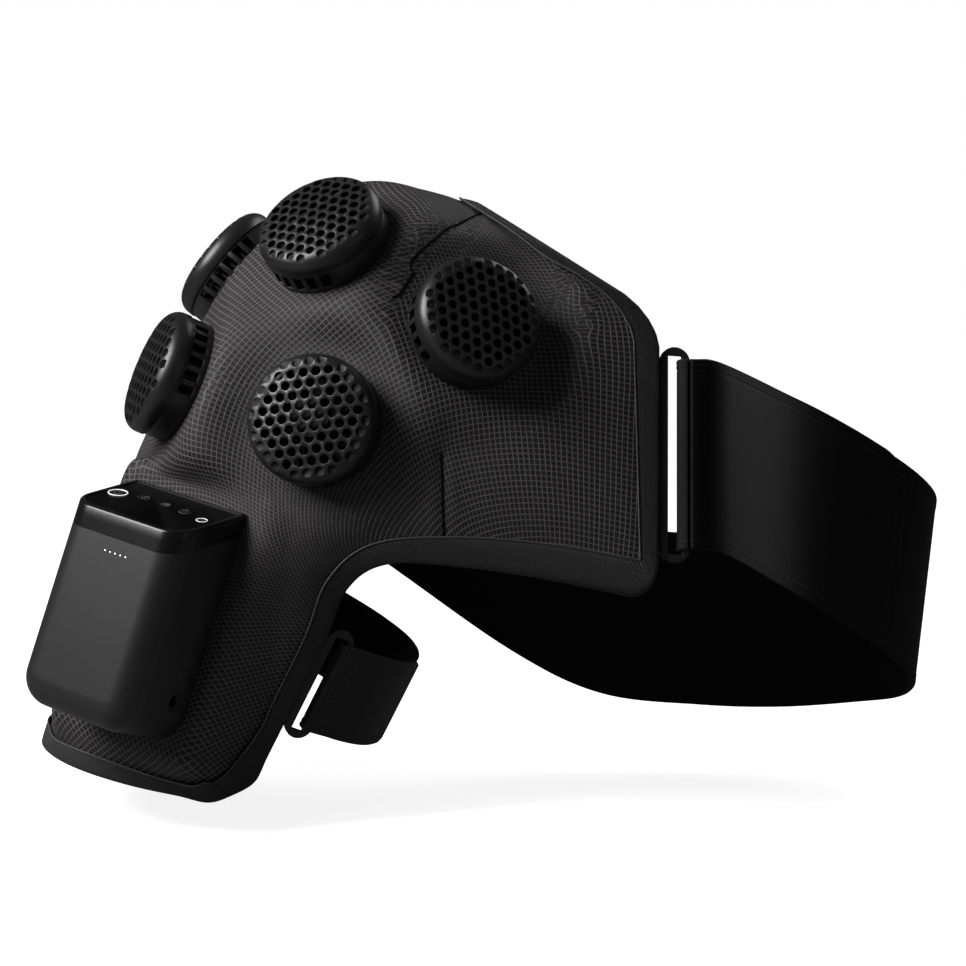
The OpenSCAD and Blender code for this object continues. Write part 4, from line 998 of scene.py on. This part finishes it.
def build_key_marks():
    """Thin raised lines: round tubes half sunk in the key tops."""
    owners = [0, 0, 1, 2, 3, 4, 4]
    for number, (owner, (finish, radius, lines)) in enumerate(zip(owners, key_marks())):
        points, faces, start = [], [], 0
        for line in lines:
            p = np.column_stack([line + KEY_SPOTS[owner], np.full(len(line), -0.3 + radius * 0.3)])
            world = SLOPE_ORIGIN + p @ SLOPE_AXES
            v, f = tube(world, radius, 6)
            ends = np.array([[start, start + 1, start + 2, start + 3],
                [start + 3, start + 4, start + 5, start]])
            last = start + len(v.reshape(-1, 3)) - 6
            points.append(v.reshape(-1, 3))
            faces += [f + start, ends, (ends - start + last)[:, ::-1]]
            start += len(points[-1])
        faces = np.concatenate(faces)
        make_mesh("key_mark_%d" % (number + 1), np.concatenate(points), faces, MAT[finish],
                  body="key_cap_%d" % (owner + 1), uv=np.zeros((start, 2)))


# ---------- battery pack ----------
PACK_ORIGIN = PACK_C + (SHELL_T + 0.3) * PACK_OUT - PACK_H / 2 * PACK_UP
PACK_AXES = np.array([PACK_SIDE, -PACK_OUT, PACK_UP])
FRONT_R, FOOT_R, PACK_WALL, TRAY_D, BEZEL_H = 13.0, 15.0, 2.2, 5.0, 10.0


def in_pack(x, y, z):
    """Point of the pack's own frame: x across, y into the arm, z up from the back bottom edge."""
    x, y, z = np.broadcast_arrays(x, y, z)
    return PACK_ORIGIN + np.stack([x, y, z], -1) @ PACK_AXES


def case_rows(y, inset, top):
    """Outline of the case for an inset: down the left side, round the foot, along the bottom and up the right
    side.

    Both foot arcs keep their centres, so a point is its centre plus (foot radius - inset) times its direction."""
    reach, centre = FOOT_R - inset, PACK_W / 2 - FOOT_R
    up = np.linspace(0, 1, 15)
    a = np.radians(np.linspace(180, 270, 15))[1:-1]
    level = np.linspace(-centre, centre, 21)
    side_z = FOOT_R + (top - FOOT_R) * up
    x = np.concatenate([np.full(15, -centre - reach), -centre + reach * np.cos(a), level,
        centre - reach * np.cos(a[::-1]), np.full(15, centre + reach)])
    z = np.concatenate([side_z[::-1], FOOT_R + reach * np.sin(a), np.full(21, FOOT_R - reach),
        FOOT_R + reach * np.sin(a[::-1]), side_z])
    return in_pack(x, y, z)


def joined(name, points, faces, material_name, wall=0.0, cutters=()):
    """A mesh with doubles merged, given a wall inwards and cut by cylinders, with sharp edges kept sharp."""
    obj = make_mesh(name, points, faces, MAT[material_name])
    form = bmesh.new()
    form.from_mesh(obj.data)
    bmesh.ops.remove_doubles(form, verts=form.verts, dist=1e-5)
    bmesh.ops.dissolve_degenerate(form, edges=form.edges, dist=1e-6)
    form.to_mesh(obj.data)
    form.free()
    if wall:
        shell = obj.modifiers.new("wall", "SOLIDIFY")
        shell.thickness, shell.offset = wall * MM, -1
    bores = [round_bore(*c) for c in cutters]
    for bore in bores:
        cut = obj.modifiers.new("bore", "BOOLEAN")
        cut.operation, cut.solver, cut.object = "DIFFERENCE", "EXACT", bore
    if wall or bores:
        bpy.context.view_layer.update()
        mesh = bpy.data.meshes.new_from_object(obj.evaluated_get(bpy.context.evaluated_depsgraph_get()))
        obj.modifiers.clear()
        obj.data = mesh
        for bore in bores:
            bpy.data.objects.remove(bore)
    obj.data.set_sharp_from_angle(angle=np.radians(33))
    return obj


def round_bore(start, end, radius):
    """A plain cylinder between two points in mm, used only to cut."""
    path = np.linspace(start, end, 2)
    points, faces = tube(path, radius, 48)
    mesh = bpy.data.meshes.new("bore")
    ends = [list(range(47, -1, -1)), list(range(48, 96))]
    mesh.from_pydata((points.reshape(-1, 3) * MM).tolist(), [], faces[:, ::-1].tolist() + ends)
    form = bmesh.new()
    form.from_mesh(mesh)
    bmesh.ops.recalc_face_normals(form, faces=form.faces)
    form.to_mesh(mesh)
    form.free()
    obj = bpy.data.objects.new("bore", mesh)
    bpy.context.scene.collection.objects.link(obj)
    return obj


def build_front_case():
    """Front case: straight walls, a quarter-round front edge of 13 mm and a flat front, under the slope of the
    band."""
    def top(y):
        return PACK_H + PACK_SLOPE * y - (BEZEL_H + 0.05) / np.cos(SLOPE_TILT)
    rows = [case_rows(y, 0.0, top(y)) for y in np.linspace(-TRAY_D, -(PACK_D - FRONT_R), 9)]
    for a in np.radians(np.linspace(0, 90, 19))[1:]:
        y = -(PACK_D - FRONT_R) - FRONT_R * np.sin(a)
        rows.append(case_rows(y, FRONT_R * (1 - np.cos(a)), top(y)))
    rows.append(case_rows(-PACK_D, FOOT_R, top(-PACK_D)))
    skin = np.stack(rows)
    centre = PACK_W / 2 - FOOT_R
    x, up = np.meshgrid(np.linspace(-centre, centre, 21), np.linspace(0, 1, 15), indexing="ij")
    flat = in_pack(x, -PACK_D, FOOT_R + (top(-PACK_D) - FOOT_R) * up)
    faces = np.concatenate([grid_faces(*skin.shape[:2]), grid_faces(21, 15) + skin.shape[0] * skin.shape[1]])
    points = np.concatenate([skin.reshape(-1, 3), flat.reshape(-1, 3)])
    faces = outward_faces(points, faces, in_pack(0, -PACK_D / 2, 50))
    lights = PACK_H - PACK_SLOPE * PACK_D - 17.5
    cutters = [(in_pack(2 + 3.2 * i, -PACK_D - 2, lights), in_pack(2 + 3.2 * i, -PACK_D + 4, lights),
        0.84) for i in range(-2, 3)]
    cutters.append((in_pack(PACK_W / 2 + 2, -11.5, 20.5), in_pack(PACK_W / 2 - 4, -11.5, 20.5), 4.72))
    obj = joined("front_case", points, faces, "pack", 1.6, cutters)
    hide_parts("pack_front_case")


def outward_faces(points, faces, centre):
    """Turns each quad so that its normal points away from a centre."""
    a, b, c, d = (points[faces[:, k]] for k in range(4))
    n = np.cross(c - a, d - b)
    wrong = ((a + b + c + d) / 4 - centre)
    flip = (n * wrong).sum(-1) < 0
    faces = faces.copy()
    faces[flip] = faces[flip][:, ::-1]
    return faces


def build_band():
    """Glossy band round the top: a closed plan outline with two round front corners, swept with a rolled upper
    edge."""
    w, d, r, b = PACK_W / 2, PACK_D, FRONT_R, 0.6
    def corner(cx, cy, radius, start, n):
        a = np.radians(np.linspace(start, start - 90, n))
        return np.stack([cx + radius * np.cos(a), cy + radius * np.sin(a), np.cos(a), np.sin(a)], -1)
    plan = np.concatenate([corner(w - b, -b, b, 90, 4), corner(w - r, -d + r, r, 0, 25),
        corner(-w + r, -d + r, r, 270, 25), corner(-w + b, -b, b, 180, 4)])
    inside = np.array([0, 0, 0, 0.12, 0.45, 0.9, 1.6, PACK_WALL, PACK_WALL, PACK_WALL])
    drop = np.array([BEZEL_H - 0.1, BEZEL_H / 2, 0.9, 0.45, 0.12, 0, 0, 0, 1.2,
        BEZEL_H - 0.1]) / np.cos(SLOPE_TILT)
    x, y = plan[:, :1] - inside * plan[:, 2:3], plan[:, 1:2] - inside * plan[:, 3:4]
    z = PACK_H + PACK_SLOPE * y - drop
    points = in_pack(x, y, z)
    faces = grid_faces(len(plan), len(inside), True, True)
    obj = joined("glossy_band", points, faces, "gloss")
    form = bmesh.new()
    form.from_mesh(obj.data)
    bmesh.ops.recalc_face_normals(form, faces=form.faces)
    form.to_mesh(obj.data)
    form.free()
    obj.data.set_sharp_from_angle(angle=np.radians(33))
    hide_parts("pack_bezel")


def build_light_points():
    """Five small lit domes in the middle of the level lights: r sin and r cos of the dome angle."""
    a, b = np.meshgrid(np.linspace(0, np.pi / 2, 5), np.arange(12) * np.pi / 6, indexing="ij")
    lights = PACK_H - PACK_SLOPE * PACK_D - 17.5
    points = [in_pack(2 + 3.2 * i + 0.42 * np.sin(a) * np.cos(b), -PACK_D - 0.05 - 0.1 * np.cos(a),
        lights + 0.42 * np.sin(a) * np.sin(b)) for i in range(-2, 3)]
    dome = grid_faces(5, 12, False, True)
    rim = np.array([[59, 58, 57, 56], [56, 55, 54, 59], [54, 53, 52, 59], [52, 51, 48, 59], [51, 50, 49, 48]])
    one = np.concatenate([dome, rim - 0])
    faces = np.concatenate([one + 60 * k for k in range(5)])
    make_mesh("light_points", np.concatenate([p.reshape(-1, 3) for p in points]), faces, MAT["light"],
        uv=np.zeros((300, 2)))


# ---------- CAD nodes ----------
SUBPART_SLOT = {row["node"]: row["material_slot"] for row in frame["record"]["subparts"]}
SOFT_EDGES = {"chest_ring": 0.9, "arm_ring": 0.9, "charge_socket": 0.3}
SOFT_EDGES.update({"grille_cap_%d" % k: 0.28 for k in range(1, 6)})
SOFT_EDGES.update({"vent_housing_%d" % k: 0.3 for k in range(1, 6)})


def finish_nodes():
    """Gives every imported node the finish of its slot."""
    for name, obj in NODES.items():
        finish = MAT[NODE_FINISH.get(name, SLOT_FINISH[SUBPART_SLOT[name]])]
        if not obj.material_slots:
            obj.data.materials.append(None)
        for place in obj.material_slots:
            place.link = "OBJECT"
            place.material = finish


CAP_BASE, CAP_H, CAP_CROWN, CAP_EDGE_R = 14.3, 12.0, 1.6, 7.5
HOLE_D, HOLE_PITCH = 4.4, 6.0
HOLE_ZONE = MODULE_R - CAP_EDGE_R * 0.55 - HOLE_D / 2


def rim_dimples(k):
    """Blind dimples that carry the hole pattern over the round rim of a cap: cylinders 1.1 mm into the
    quarter-round edge."""
    j, i = np.meshgrid(np.arange(-6, 7), np.arange(-6, 7))
    spots = np.stack([HOLE_PITCH * 0.866 * i, HOLE_PITCH * (j + (np.abs(i) % 2) / 2)], -1).reshape(-1, 2)
    r = np.linalg.norm(spots, axis=1)
    spots, r = spots[(r >= HOLE_ZONE) & (r < MODULE_R - 1.2)], r[(r >= HOLE_ZONE) & (r < MODULE_R - 1.2)]
    surface = CAP_BASE + CAP_H - CAP_CROWN - CAP_EDGE_R + np.sqrt(np.maximum(CAP_EDGE_R ** 2 - (r - MODULE_R + CAP_EDGE_R) ** 2, 0))
    normal = SEAT_N[k]
    x = unit(np.array(SEATS[k][3]) - (np.array(SEATS[k][3]) @ normal) * normal)
    axes = np.array([x, np.cross(normal, x), normal])
    a = np.arange(20) * np.pi / 10
    circle = np.stack([np.cos(a), np.sin(a)], -1) * HOLE_D / 2
    low = np.concatenate([spots[:, None] + circle, np.repeat((surface - 1.1)[:, None, None], 20, 1)], -1)
    high = low + (0, 0, 8)
    points = SEAT_C[k] + np.concatenate([low, high], 1).reshape(-1, 3) @ axes
    side = grid_faces(2, 20, False, True)
    faces = [(f + 40 * n).tolist() for n in range(len(spots)) for f in side]
    faces += [list(range(40 * n + 19, 40 * n - 1, -1)) for n in range(len(spots))] + [list(range(40 * n + 20,
        40 * n + 40)) for n in range(len(spots))]
    mesh = bpy.data.meshes.new("dimples")
    mesh.from_pydata((points * MM).tolist(), [], faces)
    form = bmesh.new()
    form.from_mesh(mesh)
    bmesh.ops.recalc_face_normals(form, faces=form.faces)
    form.to_mesh(mesh)
    form.free()
    obj = bpy.data.objects.new("dimples", mesh)
    bpy.context.scene.collection.objects.link(obj)
    return obj


def soft_edge_copy(node, width, cutter=None):
    """A copy of a node with its triangles joined, cut if asked, and its sharp edges rolled by a bevel."""
    source = NODES[node]
    form = bmesh.new()
    form.from_mesh(source.data)
    bmesh.ops.remove_doubles(form, verts=form.verts, dist=2e-6)
    bmesh.ops.dissolve_limit(form, angle_limit=0.01, verts=form.verts, edges=form.edges)
    mesh = bpy.data.meshes.new(node + "_rolled")
    form.to_mesh(mesh)
    form.free()
    obj = bpy.data.objects.new(node + "_rolled", mesh)
    bpy.context.scene.collection.objects.link(obj)
    if cutter:
        cut = obj.modifiers.new("dimples", "BOOLEAN")
        cut.operation, cut.solver, cut.object = "DIFFERENCE", "EXACT", cutter
        bpy.context.view_layer.update()
        mesh = bpy.data.meshes.new_from_object(obj.evaluated_get(bpy.context.evaluated_depsgraph_get()))
        obj.modifiers.clear()
        obj.data = mesh
        bpy.data.objects.remove(cutter)
    mesh.materials.clear()
    mesh.materials.append(source.material_slots[0].material)
    mesh.polygons.foreach_set("use_smooth", np.ones(len(mesh.polygons), bool))
    roll = obj.modifiers.new("roll", "BEVEL")
    roll.width = width * MM
    roll.segments = 2
    roll.limit_method = "ANGLE"
    roll.angle_limit = np.radians(32)
    roll.harden_normals = True
    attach(obj, source["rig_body"])
    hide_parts(node)
    return obj


# ---------- stage ----------
TARGET = Vector((0.0765, 0.0, -0.0415))
VIEW_DOWN = np.radians(5.0)
VIEW_DISTANCE = 1.3
VIEW_LENS = 96.894


def area_lamp(name, place, size, power):
    """Soft square lamp aimed at the middle of the object."""
    lamp = bpy.data.lights.new(name, "AREA")
    lamp.shape = "SQUARE"
    lamp.size = size
    lamp.energy = power
    obj = bpy.data.objects.new(name, lamp)
    obj.location = place
    obj.rotation_euler = (TARGET - Vector(place)).to_track_quat("-Z", "Y").to_euler()
    bpy.context.scene.collection.objects.link(obj)


def build_world(stage):
    """White for the camera, a dim grey for the light on the object and in its reflections."""
    world = bpy.data.worlds.new("studio")
    bpy.context.scene.world = world
    world.use_nodes = True
    tree = world.node_tree
    tree.nodes.clear()
    path = tree.nodes.new("ShaderNodeLightPath")
    out = tree.nodes.new("ShaderNodeOutputWorld")
    dim, white, blend = tree.nodes.new("ShaderNodeBackground"), tree.nodes.new("ShaderNodeBackground"), tree.nodes.new("ShaderNodeMixShader")
    dim.inputs["Color"].default_value = (1, 1, 1, 1)
    dim.inputs["Strength"].default_value = stage.world_level
    white.inputs["Color"].default_value = (1, 1, 1, 1)
    tree.links.new(math_node(tree, "MAXIMUM", path.outputs["Is Camera Ray"],
        path.outputs["Is Transmission Ray"]), blend.inputs[0])
    tree.links.new(dim.outputs[0], blend.inputs[1])
    tree.links.new(white.outputs[0], blend.inputs[2])
    tree.links.new(blend.outputs[0], out.inputs["Surface"])


def build_floor(stage):
    """Pale floor under the object that keeps the shadow and reads as white to the camera."""
    low = CAD_BOX[0][2] - stage.floor_drop
    n = 5
    x, y = np.meshgrid(np.linspace(-7, 7, n), np.linspace(-7, 7, n), indexing="ij")
    mesh = bpy.data.meshes.new("floor")
    points = np.stack([x, y, np.full_like(x, low)], -1).reshape(-1, 3)
    mesh.from_pydata(points.tolist(), [], grid_faces(n, n)[:, ::-1].tolist())
    mat, tree, shader = material("pale floor", 0.9, specular=0.0)
    shader.inputs["Emission Color"].default_value = (1, 1, 1, 1)
    path, coord = tree.nodes.new("ShaderNodeLightPath"), tree.nodes.new("ShaderNodeTexCoord")
    seen = path.outputs["Is Camera Ray"]
    tree.links.new(colour_mix(tree, seen, grey(0.22), grey(0.82)), shader.inputs["Base Color"])
    away = tree.nodes.new("ShaderNodeVectorMath")
    away.operation = "LENGTH"
    tree.links.new(coord.outputs["Object"], away.inputs[0])
    near = math_node(tree, "SUBTRACT", 1.0, math_node(tree, "SUBTRACT", away.outputs["Value"], 0.45),
        clamp=True)
    lift = math_node(tree, "SUBTRACT", 1.0, math_node(tree, "MULTIPLY", near, 1 - stage.floor_lift))
    tree.links.new(math_node(tree, "MULTIPLY", seen, lift), shader.inputs["Emission Strength"])
    mesh.materials.append(mat)
    obj = bpy.data.objects.new("floor", mesh)
    bpy.context.scene.collection.objects.link(obj)


def build_camera():
    """Camera 1.3 m from the object, 5 degrees above it."""
    camera = bpy.data.cameras.new("view")
    camera.sensor_width = 36
    camera.lens = VIEW_LENS
    obj = bpy.data.objects.new("view", camera)
    ahead = Vector((0, np.cos(VIEW_DOWN), -np.sin(VIEW_DOWN)))
    obj.location = TARGET - VIEW_DISTANCE * ahead
    obj.rotation_euler = ahead.to_track_quat("-Z", "Y").to_euler()
    bpy.context.scene.collection.objects.link(obj)
    bpy.context.scene.camera = obj


# ---------- settings, operators and panel ----------
class WrapLook(bpy.types.PropertyGroup):
    """Sizes and colours of the wrap."""
    fabric: bpy.props.FloatVectorProperty(name="Fabric", description="Ground colour of the cover",
        default=(0.0125, 0.0115, 0.0118), subtype="COLOR", min=0, max=1)
    # line_gain lightens the lattice lines, partly as their own thread colour and partly as painted sheen.
    line_gain: bpy.props.FloatProperty(name="Line gain", description="How much lighter the lattice lines are",
        default=9.0, min=1, max=20)
    cell: bpy.props.FloatProperty(name="Cell", description="Width of one lattice cell in mm", default=2.6,
        min=1, max=6)
    fold_height: bpy.props.FloatProperty(name="Folds", description="Height of the soft folds in mm",
        default=0.5, min=0, max=2)
    tape_width: bpy.props.FloatProperty(name="Tape width", description="Width of the edge tape in mm",
        default=10.0, min=6, max=14)
    hem: bpy.props.FloatProperty(name="Hem", description="Width of the strap hems in mm", default=5.0, min=3,
        max=8)
    icon_glow: bpy.props.FloatProperty(name="Mark glow", description="Emission of the lit key marks",
        default=0.5, min=0, max=4)
    light_glow: bpy.props.FloatProperty(name="Light glow", description="Emission of the level lights",
        default=1.2, min=0, max=6)


class StageLook(bpy.types.PropertyGroup):
    """Light, floor and backdrop."""
    floor_drop: bpy.props.FloatProperty(name="Floor drop",
        description="Distance of the floor below the object", default=0.015, unit="LENGTH", min=0, max=0.2)
    floor_lift: bpy.props.FloatProperty(name="Floor white",
        description="White added to the floor for the camera", default=0.87, min=0, max=1)
    world_level: bpy.props.FloatProperty(name="Ambient", description="Strength of the grey ambient light",
        default=0.055, min=0, max=1)
    key_power: bpy.props.FloatProperty(name="Key", description="Power of the key lamp", default=17.0,
        unit="POWER", min=0, max=500)
    fill_power: bpy.props.FloatProperty(name="Fill", description="Power of the fill lamp", default=1.0,
        unit="POWER", min=0, max=200)
    rim_power: bpy.props.FloatProperty(name="Rim", description="Power of the lamp behind the object",
        default=5.0, unit="POWER", min=0, max=200)


class WRAP_OT_finishes(bpy.types.Operator):
    """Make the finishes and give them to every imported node"""
    bl_idname = "wrap.finishes"
    bl_label = "Finishes"

    def execute(self, context):
        make_materials(context.scene.wrap_look)
        finish_nodes()
        return {"FINISHED"}


class WRAP_OT_cover(bpy.types.Operator):
    """Build the padded cover with its darts"""
    bl_idname = "wrap.cover"
    bl_label = "Cover"

    def execute(self, context):
        build_cover(context.scene.wrap_look)
        # The dart lines are near black: seam and painted shadow in the fold.
        build_dart_shade_lines(context.scene.wrap_look)
        return {"FINISHED"}


class WRAP_OT_lining(bpy.types.Operator):
    """Build the inner lining"""
    bl_idname = "wrap.lining"
    bl_label = "Lining"

    def execute(self, context):
        build_lining()
        return {"FINISHED"}


class WRAP_OT_tape(bpy.types.Operator):
    """Build the edge tape, its piping and stitches"""
    bl_idname = "wrap.tape"
    bl_label = "Edge tape"

    def execute(self, context):
        build_tape(context.scene.wrap_look)
        return {"FINISHED"}


class WRAP_OT_straps(bpy.types.Operator):
    """Build the chest and arm straps and their folded ends"""
    bl_idname = "wrap.straps"
    bl_label = "Straps"

    def execute(self, context):
        look = context.scene.wrap_look
        chest, arm = chest_strap(), arm_strap()
        build_strap(chest, "chest_band", look.hem, 0.22, "strap", "loop_face_and_highlight", 150)
        build_flap(chest, "chest_flap_face", look.hem, 0.22, "strap", "chest_flap_body", "chest_flap", 70)
        build_strap(arm, "arm_band", look.hem, 0.25, "strap_trim", "loop_face_and_highlight", 90)
        build_flap(arm, "arm_flap_face", look.hem, 0.30, "felt", "arm_flap_body", "arm_flap", 50)
        return {"FINISHED"}


class WRAP_OT_key_marks(bpy.types.Operator):
    """Build the plain marks on the five keys"""
    bl_idname = "wrap.key_marks"
    bl_label = "Key marks"

    def execute(self, context):
        build_key_marks()
        return {"FINISHED"}


class WRAP_OT_pack(bpy.types.Operator):
    """Build the front case and the glossy band of the battery pack"""
    bl_idname = "wrap.pack"
    bl_label = "Battery pack"

    def execute(self, context):
        build_front_case()
        build_band()
        build_light_points()
        return {"FINISHED"}


class WRAP_OT_rolled_edges(bpy.types.Operator):
    """Roll the sharp edges of the rings, modules and pack"""
    bl_idname = "wrap.rolled_edges"
    bl_label = "Rolled edges"

    def execute(self, context):
        for node, width in SOFT_EDGES.items():
            cap = node.startswith("grille_cap_")
            soft_edge_copy(node, width, rim_dimples(int(node[-1]) - 1) if cap else None)
        return {"FINISHED"}


class WRAP_OT_stage(bpy.types.Operator):
    """Build the floor, backdrop, lamps and camera"""
    bl_idname = "wrap.stage"
    bl_label = "Stage"

    def execute(self, context):
        stage = context.scene.stage_look
        context.scene.view_settings.view_transform = "Standard"
        build_world(stage)
        build_floor(stage)
        area_lamp("key", (-0.80, -0.42, 0.66), 0.6, stage.key_power)
        area_lamp("fill", (1.5, -1.3, 0.2), 1.2, stage.fill_power)
        area_lamp("rim", (0.9, 0.9, 1.0), 0.8, stage.rim_power)
        build_camera()
        return {"FINISHED"}


class WRAP_PT_pieces(bpy.types.Panel):
    """Lists the pieces in the order in which they are built"""
    bl_idname = "WRAP_PT_pieces"
    bl_label = "Shoulder wrap"
    bl_space_type = "VIEW_3D"
    bl_region_type = "UI"
    bl_category = "Shoulder wrap"

    def draw(self, context):
        for operator in OPERATORS:
            self.layout.operator(operator.bl_idname)
        for settings in (context.scene.wrap_look, context.scene.stage_look):
            for name in settings.__annotations__:
                self.layout.prop(settings, name)


OPERATORS = (WRAP_OT_finishes, WRAP_OT_cover, WRAP_OT_lining, WRAP_OT_tape, WRAP_OT_straps, WRAP_OT_key_marks,
             WRAP_OT_pack, WRAP_OT_rolled_edges, WRAP_OT_stage)


def register():
    """Registers the settings, operators and panel."""
    for cls in (WrapLook, StageLook) + OPERATORS + (WRAP_PT_pieces,):
        bpy.utils.register_class(cls)
    bpy.types.Scene.wrap_look = bpy.props.PointerProperty(type=WrapLook)
    bpy.types.Scene.stage_look = bpy.props.PointerProperty(type=StageLook)


def unregister():
    """Removes what register added."""
    del bpy.types.Scene.wrap_look
    del bpy.types.Scene.stage_look
    for cls in (WRAP_PT_pieces,) + OPERATORS[::-1] + (StageLook, WrapLook):
        bpy.utils.unregister_class(cls)


def main():
    """Builds everything in order."""
    register()
    bpy.ops.wrap.finishes()
    bpy.ops.wrap.cover()
    bpy.ops.wrap.lining()
    bpy.ops.wrap.tape()
    bpy.ops.wrap.straps()
    bpy.ops.wrap.key_marks()
    bpy.ops.wrap.pack()
    bpy.ops.wrap.rolled_edges()
    bpy.ops.wrap.stage()


if __name__ == "__main__":
    main()
